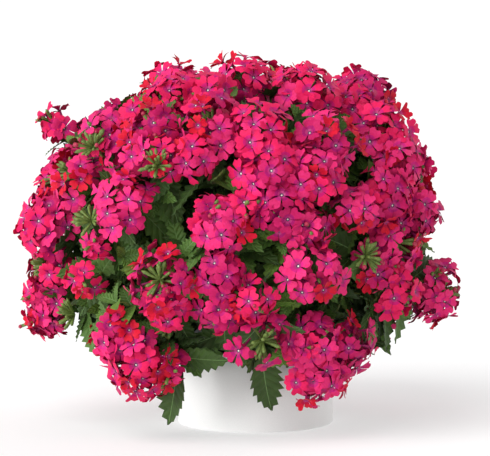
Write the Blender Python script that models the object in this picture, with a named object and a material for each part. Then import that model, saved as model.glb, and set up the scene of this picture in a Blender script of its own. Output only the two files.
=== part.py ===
# Potted verbena: a mounded, trailing garden verbena in full flower. Its dark nursery pot stands
# in a plain white cover pot. Boughs arch out from a short stem base over both rims, and each one
# carries a mass: forking twigs, leaves in pairs, and domed flower heads of five-petalled florets.
#
# Everything is in metres. The origin is the middle of the cover pot's flat underside, +Z is up,
# +X is the plant's right and -Y is its front.

import math
import random
from collections import namedtuple

import bmesh
import bpy
from mathutils import Matrix, Vector
from mathutils.bvhtree import BVHTree

MM = 0.001
CLEARANCE = 0.3 * MM  # between pieces that rest on each other
SEED = 20

# White cover pot
POT_RADIUS = 56 * MM
POT_HEIGHT = 56 * MM
POT_WALL = 2.6 * MM
POT_FLOOR = 3.0 * MM
POT_EDGE = 1.5 * MM  # rounding of the foot and the lip
POT_SIDES = 32
TURNED_SMOOTH = 30  # degrees: edges of turned shapes that bend more are shaded sharp

# Dark nursery pot, standing in the cover pot and showing above its rim
NURSERY_FOOT_RADIUS = 37 * MM
NURSERY_RIM_RADIUS = 49 * MM
NURSERY_RIM_Z = 87 * MM
NURSERY_LIP_HEIGHT = 6 * MM
NURSERY_LIP_STEP = 1.6 * MM
NURSERY_WALL = 1.4 * MM
NURSERY_SIDES = 24
SOIL_BELOW_RIM = 6 * MM

# Short woody stem base, standing on the soil
BASE_RADIUS = 13 * MM
BASE_RISE = 8.5 * MM  # from the soil to the middle of the base's rounded head
BASE_SMOOTH = 50  # degrees

# The crown: flower heads sit on a rounded mound, wider than it is high
CROWN_MIDDLE = Vector((-12 * MM, 0, 135 * MM))
CROWN_RADIUS = 149 * MM
CROWN_RISE = 124 * MM
CROWN_FALL = 100 * MM
CROWN_SQUARENESS = 3.2
HEADS_AIM = Vector((-8 * MM, 0, 100 * MM))  # the flower heads face away from this point

# Every shoot is a bough with its mass. Each flower head of the mass is given by its bearing
# round the pot in degrees (0 is +X, 90 is the back, 270 is the front), its height in mm, and how
# many mm deeper than the crown's surface it lies.
SHOOTS = {
    "top_left": ((242, 246, 3), (262, 228, 0), (205, 257, 7)),
    "top_front": ((274, 257, -3), (276, 221, 0)),
    "top_middle": ((304, 250, 2), (298, 214, 0)),
    "top_right": ((344, 246, 5), (322, 219, 0)),
    "left_upper": ((224, 218, 0), (248, 206, 0)),
    "left": ((213, 192, 0), (236, 171, 0)),
    "left_side": ((194, 147, 0), (224, 141, 0)),
    "left_low": ((194, 119, -2), (188, 84, -3), (220, 113, 0)),
    "heart": ((279, 199, 0), (282, 171, 0), (290, 155, 0)),
    "right": ((324, 197, 0), (304, 165, 0), (327, 161, 0)),
    "right_low": ((320, 140, 0), (316, 122, 0)),
    "right_tip": ((344, 99, -8), (322, 103, 0)),
    "front_right": ((292, 122, 0),),
    "front_left": ((248, 116, 0),),
    "front": ((265, 156, 0), (266, 120, 0), (273, 103, 0)),
    "hem_front": ((277, 73, 0),),
    "hem_right": ((300, 49, -11),),
    "hem_left": ((236, 54, -8),),
    "back_top_right": ((25, 246, 7), (68, 249, 6), (50, 222, 0), (340, 258, 10)),
    "back_top_left": ((112, 249, 5), (154, 214, 4), (130, 222, 3), (100, 258, 8)),
    "back_upper_right": ((16, 194, 12), (44, 190, 0), (82, 208, 0)),
    "back_upper_left": ((106, 190, 0), (154, 180, 0), (184, 188, 12)),
    "back_right": ((8, 160, 10), (30, 150, 0), (58, 170, 0)),
    "back_left": ((128, 168, 0), (162, 146, 0)),
    "back_middle": ((90, 158, 0), (90, 116, 0), (88, 70, 0)),
    "back_low_right": ((42, 112, 0), (12, 92, 0), (34, 62, 0)),
    "back_low_left": ((140, 114, 0), (168, 92, 0), (128, 60, 0)),
}

# Leaves that hang below the crown: the shoot that carries each, the bearing of its tip in
# degrees, and the tip's distance from the crown's middle and height in mm
HANGING_LEAVES = (
    ("hem_left", 236, 92, 11),
    ("hem_left", 253, 90, 43),
    ("hem_front", 283, 84, 19),
    ("hem_front", 268, 88, 52),
    ("hem_right", 318, 104, 64),
    ("left_low", 206, 112, 57),
    ("right_tip", 330, 112, 64),
    ("right_tip", 344, 128, 78),
    ("front_right", 305, 122, 98),
    ("back_low_right", 10, 100, 58),
    ("back_low_right", 50, 88, 30),
    ("back_middle", 84, 90, 34),
    ("back_low_left", 112, 92, 44),
    ("back_low_left", 160, 104, 48),
)

# Boughs: slender tapering limbs
BOUGH_FOOT_RADIUS = 2.1 * MM
BOUGH_TIP_RADIUS = 1.5 * MM
BOUGH_SHARE = 0.52  # of the way from the stem base to the middle of the mass's heads
BOUGH_SIDES = 5
BOUGH_STEPS = 4
BOUGH_SMOOTH = 80  # degrees: a bough's side edges are shaded smooth, its flat ends sharp
BOUGH_RINGS = ((10, 11), (38, 9), (66, 6), (90, 1))  # elevation in degrees, boughs seated there
SEAT_SPACING = 0.8  # least spacing in a ring, of an even spacing
SEAT_ROUNDS = 200  # of pushing neighbours in a ring apart
LEAVE_SHARE = 0.30  # how far a bough keeps the direction of its seat, of its reach
ARRIVE_SHARE = 0.34  # how far it lies in line with the flower heads, of its reach
LOW_Z = 60 * MM  # the lowest shoots arch up the most, to clear the pots' rims
HIGH_Z = 210 * MM
ARCH_LOW = 62 * MM
ARCH_HIGH = 8 * MM

# Twigs of the masses
STEM_RADIUS = 1.4 * MM
TWIG_RADIUS = 1.2 * MM
TWIG_TIP_RADIUS = 1.0 * MM
TWIG_SIDES = 3
TWIG_STEPS = 2
TWIG_TRIES = 40  # bows tried where another limb is in a twig's way
TWIG_BOW = 9 * MM
FORK_SHARE = 0.72  # where the mass's stem forks, on the same way
STEM_GAP = 1.5 * CLEARANCE  # from a bough's tip to its mass's stem
TWIG_SUNK = 0.5 * MM  # a twig starts this far inside the stem's end
TWIG_LEAVE = 0.35  # how far a twig keeps the stem's direction, of its length
TWIG_ARRIVE = 0.45  # how far it lies in line with its flower head

# Flower heads
FLORET_RADIUS = 11.5 * MM
FLORET_NOTCH = 0.55  # of the floret's radius
NOTCH_DEPTH = 1.4 * MM  # the notches and the eye lie below the petals' tips
EYE_DEPTH = 2.4 * MM
FLORET_FOOT = 0.3  # of the hub's radius, where its funnel starts
PETALS = 5
HUB_SIDES = 4
HEAD_DOME = 21 * MM  # from the head's hub to the florets' rims
HEAD_DEPTH = 11 * MM  # the hub lies this far inside the crown's surface
HEAD_LEAN = 0.14  # how much a head may look aside
RING_FLORETS = 4
RING_TILT = 60  # degrees from the head's axis
FLORET_TURNS = 3  # turns tried, a fifteenth of a full turn apart
HUB_RADIUS = 4.5 * MM
HEAD_SINK = 7 * MM  # the most that chance puts a head deeper
FLORET_SIZES = (1, 0.86, 0.72)  # tried in turn where a head is hemmed in

# Leaves
LEAF_LENGTH = 40 * MM
LEAF_WIDTH = 20 * MM
LEAF_THICKNESS = 1.2 * MM
LEAF_ROOT = 0.7 * MM  # how far a leaf's root runs past its twig's middle
LEAF_DROOP = 0.16  # of the leaf's length
LEAF_WAIST = 0.10  # how far the widest place lies before the middle, of the length
LEAF_LENGTHS = (0.85, 1.1)  # range of the leaves' lengths, of the full length
LEAF_FORWARD = 0.45  # how far a leaf points along its twig, and down
LEAF_DOWN = 0.12
LEAF_SIZES = (1, 0.8, 0.6)  # tried in turn where a leaf is hemmed in
LEAF_TURNS = (0, 0.5, -0.5)  # radians round the twig, tried likewise
LEAF_STATIONS = (0.55,)  # places of the leaf pairs along a twig
HANGING_SIZE = 1.15  # of the hanging leaves, in leaf lengths


def material(name, colour, roughness):
    """A Principled material with a plain linear colour."""
    made = bpy.data.materials.new(name)
    made.use_nodes = True
    shader = made.node_tree.nodes["Principled BSDF"]
    shader.inputs["Base Color"].default_value = (*colour, 1)
    shader.inputs["Roughness"].default_value = roughness
    shader.inputs["Metallic"].default_value = 0
    made.diffuse_color = (*colour, 1)
    return made


def place_object(name, mesh, finish):
    """A named object at the origin, with its one material."""
    made = bpy.data.objects.new(name, mesh)
    bpy.context.scene.collection.objects.link(made)
    mesh.materials.clear()
    mesh.materials.append(finish)
    return made


def face_outward(bm):
    """Turn all faces of a closed shape outwards, thin bent tubes included."""
    bmesh.ops.recalc_face_normals(bm, faces=bm.faces)
    if bm.calc_volume(signed=True) < 0:
        bmesh.ops.reverse_faces(bm, faces=bm.faces)


def turned(name, outline, sides, finish):
    """Turn an outline of (radius, height) points, from the axis back to the axis."""
    bm = bmesh.new()
    row = [bm.verts.new((radius, 0, height)) for radius, height in outline]
    edges = [bm.edges.new(pair) for pair in zip(row, row[1:])]
    bmesh.ops.spin(bm, geom=row + edges, cent=(0, 0, 0), axis=(0, 0, 1), angle=math.tau,
                   steps=sides, use_merge=True)
    bmesh.ops.remove_doubles(bm, verts=bm.verts, dist=0.01 * MM)
    face_outward(bm)
    mesh = bpy.data.meshes.new(name)
    bm.to_mesh(mesh)
    bm.free()
    mesh.shade_smooth()
    mesh.set_sharp_from_angle(angle=math.radians(TURNED_SMOOTH))
    return place_object(name, mesh, finish)


def cover_pot(finish):
    """The white pot: a straight wall on a flat floor, with rounded foot and lip."""
    inner = POT_RADIUS - POT_WALL
    outline = (
        (0, 0),
        (POT_RADIUS - POT_EDGE, 0),
        (POT_RADIUS, POT_EDGE),
        (POT_RADIUS, POT_HEIGHT - POT_EDGE / 2),
        (POT_RADIUS - POT_WALL / 2, POT_HEIGHT),
        (inner, POT_HEIGHT - POT_EDGE / 2),
        (inner, POT_FLOOR),
        (0, POT_FLOOR),
    )
    return turned("cover_pot", outline, POT_SIDES, finish)


def nursery_radius(height):
    """Outer radius of the nursery pot's tapered wall at a height."""
    foot = POT_FLOOR + CLEARANCE
    share = (height - foot) / (NURSERY_RIM_Z - foot)
    top = NURSERY_RIM_RADIUS - NURSERY_LIP_STEP
    return NURSERY_FOOT_RADIUS + share * (top - NURSERY_FOOT_RADIUS)


def nursery_pot(finish):
    """The dark pot: a tapered thin wall with a stepped lip."""
    foot = POT_FLOOR + CLEARANCE
    lip = NURSERY_RIM_Z - NURSERY_LIP_HEIGHT
    inner_top = nursery_radius(NURSERY_RIM_Z) - NURSERY_WALL
    inner_foot = nursery_radius(foot + NURSERY_WALL) - NURSERY_WALL
    outline = (
        (0, foot),
        (NURSERY_FOOT_RADIUS, foot),
        (nursery_radius(lip), lip),
        (NURSERY_RIM_RADIUS, lip),
        (NURSERY_RIM_RADIUS, NURSERY_RIM_Z),
        (inner_top, NURSERY_RIM_Z),
        (inner_foot, foot + NURSERY_WALL),
        (0, foot + NURSERY_WALL),
    )
    return turned("nursery_pot", outline, NURSERY_SIDES, finish)


def soil(finish):
    """The root ball: it fills the nursery pot, clear of its wall."""
    foot = POT_FLOOR + CLEARANCE + NURSERY_WALL + CLEARANCE
    top = soil_top()
    # a many-sided wall is a little nearer the axis at the middle of its sides
    slack = 1 - math.cos(math.pi / NURSERY_SIDES)
    gap = NURSERY_WALL + CLEARANCE + slack * NURSERY_RIM_RADIUS
    outline = (
        (0, foot),
        (nursery_radius(foot) - gap, foot),
        (nursery_radius(top) - gap, top),
        (0, top),
    )
    return turned("soil", outline, NURSERY_SIDES, finish)


def soil_top():
    return NURSERY_RIM_Z - SOIL_BELOW_RIM


def base_middle():
    """Middle of the ball that the boughs spring from."""
    return Vector((0, 0, soil_top() + BASE_RISE))


def stem_base(finish):
    """A short knuckle of old wood, cut flat where it stands on the soil."""
    bm = bmesh.new()
    bmesh.ops.create_icosphere(bm, subdivisions=2, radius=BASE_RADIUS)
    bmesh.ops.translate(bm, verts=bm.verts, vec=base_middle())
    ground = Vector((0, 0, soil_top() + CLEARANCE))
    cut = bmesh.ops.bisect_plane(bm, geom=bm.verts[:] + bm.edges[:] + bm.faces[:],
                                 plane_co=ground, plane_no=(0, 0, 1), clear_inner=True)
    rim = [item for item in cut["geom_cut"] if isinstance(item, bmesh.types.BMEdge)]
    bmesh.ops.edgeloop_fill(bm, edges=rim)
    face_outward(bm)
    mesh = bpy.data.meshes.new("stem_base")
    bm.to_mesh(mesh)
    bm.free()
    mesh.shade_smooth()
    mesh.set_sharp_from_angle(angle=math.radians(BASE_SMOOTH))
    return place_object("stem_base", mesh, finish)


def crown_reach(height):
    """Horizontal distance of the crown's surface from its middle at a height."""
    rise = height - CROWN_MIDDLE.z
    share = abs(rise) / (CROWN_RISE if rise > 0 else CROWN_FALL)
    return CROWN_RADIUS * max(0, 1 - share ** CROWN_SQUARENESS) ** (1 / CROWN_SQUARENESS)


def round_crown(bearing, distance, height):
    """A point given by bearing in degrees, distance from the crown's middle, and height."""
    turn = math.radians(bearing)
    return Vector((CROWN_MIDDLE.x + distance * math.cos(turn),
                   CROWN_MIDDLE.y + distance * math.sin(turn), height))


def flower_heads(name):
    """Hub and axis of every flower head of a shoot."""
    rng = random.Random(f"{SEED} heads {name}")
    heads = []
    for bearing, millimetres, deeper in SHOOTS[name]:
        height = millimetres * MM
        surface = round_crown(bearing, crown_reach(height), height)
        axis = (surface - HEADS_AIM).normalized()
        depth = HEAD_DEPTH + rng.uniform(0, HEAD_SINK) + deeper * MM
        lean = Vector([rng.uniform(-HEAD_LEAN, HEAD_LEAN) for _ in range(3)])
        heads.append((surface - axis * depth, (axis + lean).normalized()))
    return heads


def bezier(points, share):
    """A point on the cubic curve of four control points."""
    a, b, c, d = points
    rest = 1 - share
    return (a * rest ** 3 + b * 3 * rest ** 2 * share
            + c * 3 * rest * share ** 2 + d * share ** 3)


def spread_bearings(bearings):
    """Push bearings apart until boughs seated in one ring keep an even distance."""
    count = len(bearings)
    least = SEAT_SPACING * 360 / count
    spread = list(bearings)
    for _ in range(SEAT_ROUNDS):
        for i in range(count if count > 1 else 0):
            j = (i + 1) % count
            gap = (spread[j] - spread[i]) % 360
            if gap < least:
                push = (least - gap) / 4
                spread[i] -= push
                spread[j] += push
    return spread


def seat_directions():
    """The direction in which each bough leaves the stem base: low shoots from the low ring."""
    middles = {name: mean_point([hub for hub, _ in flower_heads(name)]) for name in SHOOTS}
    ranked = sorted(SHOOTS, key=lambda name: climb(middles[name]))
    directions = {}
    for elevation, count in BOUGH_RINGS:
        ring = ranked[:count]
        ranked = ranked[count:]
        ring.sort(key=lambda name: bearing_of(middles[name]))
        bearings = spread_bearings([bearing_of(middles[name]) for name in ring])
        for name, bearing in zip(ring, bearings):
            turn = math.radians(bearing)
            up = math.radians(elevation)
            directions[name] = Vector((math.cos(turn) * math.cos(up),
                                       math.sin(turn) * math.cos(up), math.sin(up)))
    return directions


def mean_point(points):
    return sum(points, Vector()) / len(points)


def bearing_of(point):
    return math.degrees(math.atan2(point.y, point.x)) % 360


def climb(point):
    """How steeply a point lies above the stem base."""
    away = point - base_middle()
    return math.atan2(away.z, math.hypot(away.x, away.y))


def limb_way(name, direction):
    """The four control points of a limb, from the stem base to the middle of its heads."""
    hubs = flower_heads(name)
    end = mean_point([hub for hub, _ in hubs])
    axis = sum((axis for _, axis in hubs), Vector()).normalized()
    start = base_middle() + direction * (BASE_RADIUS + CLEARANCE)
    reach = (end - start).length
    low = min(1, max(0, (HIGH_Z - end.z) / (HIGH_Z - LOW_Z)))
    arch = ARCH_HIGH + low * (ARCH_LOW - ARCH_HIGH)
    away = start + direction * reach * LEAVE_SHARE
    inward = end - axis * reach * ARRIVE_SHARE + Vector((0, 0, arch))
    return start, away, inward, end


def tube(points, radii, sides):
    """A closed tube with flat ends through some points, round in section."""
    bm = bmesh.new()
    ahead = (points[1] - points[0]).normalized()
    turn = Vector((0, 0, 1)).rotation_difference(ahead)
    rings = []
    last = len(points) - 1
    for i, (point, radius) in enumerate(zip(points, radii)):
        behind = points[max(0, i - 1)]
        onward = (points[min(last, i + 1)] - behind).normalized()
        turn = ahead.rotation_difference(onward) @ turn
        ahead = onward
        frame = Matrix.Translation(point) @ turn.to_matrix().to_4x4()
        ring = bmesh.ops.create_circle(bm, cap_ends=i in (0, last), segments=sides,
                                       radius=radius, matrix=frame)
        rings.append(list({edge for vert in ring["verts"] for edge in vert.link_edges}))
    for near, far in zip(rings, rings[1:]):
        bmesh.ops.bridge_loops(bm, edges=near + far)
    face_outward(bm)
    return bm


def tapered(way, first, last, steps, radii, sides):
    """A tapering tube along part of a limb's way."""
    shares = [first + (last - first) * i / steps for i in range(steps + 1)]
    points = [bezier(way, share) for share in shares]
    thick = [radii[0] + (radii[1] - radii[0]) * i / steps for i in range(steps + 1)]
    return tube(points, thick, sides)


def bough(name, way, finish):
    """The first part of a limb, from the stem base to where its mass starts."""
    bm = tapered(way, 0, BOUGH_SHARE, BOUGH_STEPS, (BOUGH_FOOT_RADIUS, BOUGH_TIP_RADIUS),
                 BOUGH_SIDES)
    mesh = bpy.data.meshes.new(f"bough_{name}")
    bm.to_mesh(mesh)
    mesh.shade_smooth()
    mesh.set_sharp_from_angle(angle=math.radians(BOUGH_SMOOTH))
    place_object(f"bough_{name}", mesh, finish)
    return Piece(bm, f"bough_{name}")


def leaf(root, tip, upward, width):
    """A blade of eight faces: widest before its middle, its midrib above its edges."""
    bm = bmesh.new()
    bmesh.ops.create_uvsphere(bm, u_segments=4, v_segments=2, radius=0.5)
    along = tip - root
    length = along.length
    side = along.cross(upward).normalized()
    top = side.cross(along).normalized()
    for vert in bm.verts:
        x, y, z = vert.co
        at_waist = math.hypot(x, y) > abs(z)
        forward = z + 0.5 - (LEAF_WAIST if at_waist else 0)
        bend = -LEAF_DROOP * length * forward ** 2
        vert.co = (root + along * forward + side * x * width
                   + top * (y * LEAF_THICKNESS + bend))
    face_outward(bm)
    return bm


def floret(hub, direction, turn, size):
    """A five-petalled floret: a slim funnel from the hub that opens into a cupped star."""
    bm = bmesh.new()
    frame = (direction.to_track_quat("Z", "Y").to_matrix() @ Matrix.Rotation(turn, 3, "Z"))
    rim = hub + direction * HEAD_DOME
    foot = bm.verts.new(hub + direction * HUB_RADIUS * FLORET_FOOT)
    eye = bm.verts.new(rim - direction * EYE_DEPTH)
    outline = []
    for i in range(2 * PETALS):
        angle = math.pi * i / PETALS
        radius = size * (FLORET_NOTCH if i % 2 else 1)
        sunk = NOTCH_DEPTH if i % 2 else 0
        spoke = Vector((math.cos(angle) * radius, math.sin(angle) * radius, -sunk))
        outline.append(bm.verts.new(rim + frame @ spoke))
    for i in range(0, 2 * PETALS, 2):
        before, petal, after = outline[i - 1], outline[i], outline[i + 1]
        bm.faces.new((eye, before, petal))
        bm.faces.new((eye, petal, after))
        bm.faces.new((before, after, petal))
        bm.faces.new((foot, after, before))
    face_outward(bm)
    return bm


def hub_solid(hub, axis):
    """The small green knot under the florets, where the twig ends."""
    bm = bmesh.new()
    frame = axis.to_track_quat("Z", "Y").to_matrix().to_4x4()
    bmesh.ops.create_uvsphere(bm, u_segments=HUB_SIDES, v_segments=2, radius=HUB_RADIUS,
                              matrix=Matrix.Translation(hub) @ frame)
    return bm


class Piece:
    """A closed shape with a slightly grown copy that tells whether it comes near another."""

    def __init__(self, bm, owner):
        self.owner = owner
        self.mesh = bpy.data.meshes.new("piece")
        bm.normal_update()
        bm.to_mesh(self.mesh)
        self.points = [vert.co.copy() for vert in bm.verts]
        self.middle = mean_point(self.points)
        self.radius = max((point - self.middle).length for point in self.points)
        for vert in bm.verts:
            vert.co += vert.normal * CLEARANCE / 2
        self.tree = BVHTree.FromBMesh(bm)
        bm.free()

    def near(self, other):
        reach = self.radius + other.radius + CLEARANCE
        if (self.middle - other.middle).length > reach:
            return False
        return bool(self.tree.overlap(other.tree))


Twig = namedtuple("Twig", "points hub axis kin")


class Plant:
    """All pieces placed so far, so that a new one keeps out of every other mass and limb."""

    def __init__(self):
        self.pieces = []

    def free(self, piece, kin=None):
        """Whether a piece keeps clear of all others but its kin: by default its shoot."""
        for other in self.pieces:
            shoot = (piece.owner, f"bough_{piece.owner}")
            related = other.owner in shoot if kin is None else other in kin
            if not related and piece.near(other):
                return False
        return True

    def add(self, piece):
        self.pieces.append(piece)

    def of(self, owner):
        return [piece for piece in self.pieces if piece.owner == owner]


def twig_points(fork, ahead, hub, axis, bow):
    """A twig from its fork to a flower head's hub, leaving along the stem."""
    length = (hub - fork).length
    way = (fork - ahead * TWIG_SUNK, fork + ahead * length * TWIG_LEAVE + bow,
           hub - axis * length * TWIG_ARRIVE + bow, hub)
    return [bezier(way, i / TWIG_STEPS) for i in range(TWIG_STEPS + 1)]


def twig_tube(stem, points):
    """The tube of a twig, which the first twig of a mass starts with the mass's stem."""
    radii = [STEM_RADIUS] * len(stem) + [TWIG_RADIUS] * TWIG_STEPS + [TWIG_TIP_RADIUS]
    return tube(stem + points, radii, TWIG_SIDES)


def grow_twigs(plant, name, way):
    """The stem of a mass, which runs on as its first twig, and a twig to each other head."""
    tip = bezier(way, BOUGH_SHARE)
    middle = bezier(way, (BOUGH_SHARE + FORK_SHARE) / 2)
    fork = bezier(way, FORK_SHARE)
    stem = [tip + (middle - tip).normalized() * STEM_GAP, middle]
    ahead = (fork - middle).normalized()
    rng = random.Random(f"{SEED} twigs {name}")
    twigs = []
    for hub, axis in flower_heads(name):
        bow = Vector()
        for _ in range(TWIG_TRIES):
            points = twig_points(fork, ahead, hub, axis, bow)
            piece = Piece(twig_tube([] if twigs else stem, points), name)
            knot = Piece(hub_solid(hub, axis), name)
            if plant.free(piece) and plant.free(knot):
                plant.add(piece)
                plant.add(knot)
                twigs.append(Twig(points, hub, axis, (piece, knot)))
                break
            bow = Vector([rng.uniform(-TWIG_BOW, TWIG_BOW) for _ in range(3)])
    return twigs


def add_first_free(plant, shapes, owner, kin):
    """Add the first of some shapes that keeps clear, or none."""
    for shape in shapes:
        piece = Piece(shape, owner)
        if plant.free(piece, kin):
            plant.add(piece)
            return


def grow_florets(plant, name, twigs, ring):
    """The middle floret of every head, or the ring round it."""
    rng = random.Random(f"{SEED} florets {ring} {name}")
    for twig in twigs:
        frame = twig.axis.to_track_quat("Z", "Y").to_matrix()
        start = rng.uniform(0, math.tau)
        count = RING_FLORETS if ring else 1
        tilt = math.radians(RING_TILT if ring else 0)
        for i in range(count):
            around = start + math.tau * i / count
            direction = frame @ Vector((math.sin(tilt) * math.cos(around),
                                        math.sin(tilt) * math.sin(around), math.cos(tilt)))
            step = math.tau / PETALS / FLORET_TURNS
            shapes = (floret(twig.hub, direction, step * turn, FLORET_RADIUS * size)
                      for size in FLORET_SIZES for turn in range(FLORET_TURNS))
            add_first_free(plant, shapes, name, twig.kin)


def grow_leaves(plant, name, twigs):
    """Leaves in pairs along each twig, every pair square to the one before."""
    rng = random.Random(f"{SEED} leaves {name}")
    for twig in twigs:
        quarter = rng.uniform(0, math.pi)
        for station in LEAF_STATIONS:
            index = int(station * TWIG_STEPS)
            near, far = twig.points[index], twig.points[index + 1]
            root = near.lerp(far, station * TWIG_STEPS - index)
            along = (far - near).normalized()
            quarter += math.pi / 2
            for side in (0, math.pi):
                length = LEAF_LENGTH * rng.uniform(*LEAF_LENGTHS)
                shapes = (leaf_on_twig(root, along, quarter + side + turn, length * size)
                          for size in LEAF_SIZES for turn in LEAF_TURNS)
                add_first_free(plant, shapes, name, twig.kin)


def leaf_on_twig(root, along, angle, length):
    """A leaf that leaves its twig to one side, a little forward and down."""
    frame = along.to_track_quat("Z", "Y").to_matrix()
    sideways = frame @ Vector((math.cos(angle), math.sin(angle), 0))
    out = (sideways + along * LEAF_FORWARD - Vector((0, 0, LEAF_DOWN))).normalized()
    start = root - out * LEAF_ROOT
    return leaf(start, start + out * length, along, length * LEAF_WIDTH / LEAF_LENGTH)


def grow_hanging_leaves(plant, twigs):
    """The leaves that hang below the crown, each on a stalk from the nearest twig."""
    for name, bearing, distance, height in HANGING_LEAVES:
        tip = round_crown(bearing, distance * MM, height * MM)
        points = min((twig.points for twig in twigs[name]),
                     key=lambda points: min((point - tip).length for point in points))
        foot = min(points[1:-1], key=lambda point: (point - tip).length)
        away = tip - foot
        stalk_end = foot + away * max(0, 1 - LEAF_LENGTH * HANGING_SIZE / away.length)
        outward = Vector((tip.x - CROWN_MIDDLE.x, tip.y, 0)).normalized()
        blade = leaf(stalk_end - away.normalized() * LEAF_ROOT, tip, outward,
                     LEAF_WIDTH * HANGING_SIZE)
        piece = Piece(blade, name)
        if (stalk_end - foot).length > LEAF_ROOT:
            stalk = tube([foot, foot.lerp(stalk_end, 0.5), stalk_end],
                         [TWIG_TIP_RADIUS] * 3, TWIG_SIDES)
            stem = Piece(stalk, name)
            if not plant.free(stem):
                continue
            plant.add(stem)
        if plant.free(piece):
            plant.add(piece)


def largest_shell(mesh):
    """Keep the one largest closed shell: this drops loose scraps and fills sealed hollows."""
    bm = bmesh.new()
    bm.from_mesh(mesh)
    left = set(bm.faces)
    shells = []
    while left:
        todo = [left.pop()]
        shell = set(todo)
        while todo:
            for edge in todo.pop().edges:
                fresh = [face for face in edge.link_faces if face in left]
                left.difference_update(fresh)
                shell.update(fresh)
                todo.extend(fresh)
        shells.append(shell)
    keep = max(shells, key=len)
    others = [face for face in bm.faces if face not in keep]
    bmesh.ops.delete(bm, geom=others, context="FACES")
    bm.to_mesh(mesh)
    bm.free()


def fuse(name, pieces, finish):
    """One Boolean union joins a mass's stem with everything that grows on it."""
    helpers = bpy.data.collections.new(f"{name}_pieces")
    bpy.context.scene.collection.children.link(helpers)
    for index, piece in enumerate(pieces[1:]):
        helper = bpy.data.objects.new(f"{name}_piece_{index}", piece.mesh)
        helpers.objects.link(helper)
    mass = place_object(name, pieces[0].mesh, finish)
    union = mass.modifiers.new("union", "BOOLEAN")
    union.operation = "UNION"
    union.operand_type = "COLLECTION"
    union.collection = helpers
    union.solver = "MANIFOLD"
    seen = mass.evaluated_get(bpy.context.evaluated_depsgraph_get())
    mesh = bpy.data.meshes.new_from_object(seen)
    mass.modifiers.clear()
    mass.data = mesh
    mesh.name = name
    largest_shell(mesh)
    for helper in list(helpers.objects):
        bpy.data.objects.remove(helper)
    bpy.data.collections.remove(helpers)
    mesh.materials.clear()
    mesh.materials.append(finish)


def mesh_piece(made):
    """A finished object as a piece that the plant keeps clear of."""
    bm = bmesh.new()
    bm.from_mesh(made.data)
    return Piece(bm, made.name)


def main():
    for old in list(bpy.data.objects):
        bpy.data.objects.remove(old)
    white = material("moulded_white_plastic", (0.82, 0.82, 0.82), 0.35)
    dark = material("moulded_dark_plastic", (0.033, 0.034, 0.045), 0.5)
    earth = material("potting_soil", (0.035, 0.022, 0.014), 0.95)
    bark = material("woody_stem", (0.16, 0.12, 0.06), 0.8)
    green = material("green_stem", (0.13, 0.21, 0.05), 0.6)
    blossom = material("leaves_and_blossom", (0.75, 0.035, 0.17), 0.55)

    plant = Plant()
    for made in (cover_pot(white), nursery_pot(dark), soil(earth), stem_base(bark)):
        plant.add(mesh_piece(made))

    ways = {name: limb_way(name, direction) for name, direction in seat_directions().items()}
    for name in SHOOTS:
        plant.add(bough(name, ways[name], green))

    twigs = {name: grow_twigs(plant, name, ways[name]) for name in SHOOTS}
    for name in SHOOTS:
        grow_florets(plant, name, twigs[name], False)
    for name in SHOOTS:
        grow_florets(plant, name, twigs[name], True)
    grow_hanging_leaves(plant, twigs)
    for name in SHOOTS:
        grow_leaves(plant, name, twigs[name])
    for name in SHOOTS:
        fuse(f"mass_{name}", plant.of(name), blossom)


main()
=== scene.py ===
# %% [markdown]
# # A potted verbena in full flower
#
# This lesson dresses the plain solids of a potted verbena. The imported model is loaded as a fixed
# frame first: it says where the pots stand and how far the crown reaches. Everything that is
# made below sits in that frame, in metres, with +Z up and the front at -Y.

# %% Load the frame
import math
import random
from collections import defaultdict, namedtuple

import bmesh
import bpy
import numpy as np
from mathutils import Matrix, Vector, noise


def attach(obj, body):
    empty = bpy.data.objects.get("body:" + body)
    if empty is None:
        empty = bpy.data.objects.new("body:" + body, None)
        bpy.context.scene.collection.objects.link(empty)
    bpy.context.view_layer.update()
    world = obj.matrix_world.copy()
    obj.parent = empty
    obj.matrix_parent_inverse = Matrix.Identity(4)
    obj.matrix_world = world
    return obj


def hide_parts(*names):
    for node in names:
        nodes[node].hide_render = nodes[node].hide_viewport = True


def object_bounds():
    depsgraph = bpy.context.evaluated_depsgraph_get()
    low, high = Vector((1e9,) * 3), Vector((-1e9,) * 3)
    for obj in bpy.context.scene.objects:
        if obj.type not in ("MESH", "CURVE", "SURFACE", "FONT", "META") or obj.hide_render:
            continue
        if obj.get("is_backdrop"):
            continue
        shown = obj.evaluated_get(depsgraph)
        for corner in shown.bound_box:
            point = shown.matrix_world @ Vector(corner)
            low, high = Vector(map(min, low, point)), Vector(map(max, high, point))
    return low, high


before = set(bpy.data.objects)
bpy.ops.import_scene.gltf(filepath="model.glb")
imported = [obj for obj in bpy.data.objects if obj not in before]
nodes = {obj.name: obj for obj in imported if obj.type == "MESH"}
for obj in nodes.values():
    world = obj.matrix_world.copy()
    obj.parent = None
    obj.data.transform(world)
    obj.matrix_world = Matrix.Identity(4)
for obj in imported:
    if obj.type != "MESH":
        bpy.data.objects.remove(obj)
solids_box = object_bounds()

MM = 0.001
SEED = 20
UP = Vector((0, 0, 1))


def dice(purpose):
    """A source of chance for one purpose, which gives the same numbers at every run."""
    return random.Random(f"{SEED} {purpose}")


print("solids:", len(nodes), "box in mm:", [[round(x / MM) for x in corner] for corner in solids_box])

# %% [markdown]
# ## Camera
#
# The photograph looks at the plant from its front, a little from above, with a long lens that
# keeps the pot's sides almost parallel. The distance is chosen for that, and the focal length
# follows from the pot: it is 112 mm wide, and 156 pixels in a picture of 490 by 456 pixels.

# %% Camera
PICTURE_WIDTH = 490
SENSOR_WIDTH = 36.0
POT_PIXELS = 155.9
POT_WIDTH = 112 * MM
CAMERA_DISTANCE = 1.8
CAMERA_RISE = math.radians(4.5)
# the point that lies in the middle of the picture
LOOK_AT = Vector((-7.54 * MM, 0, 139.98 * MM))


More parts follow.
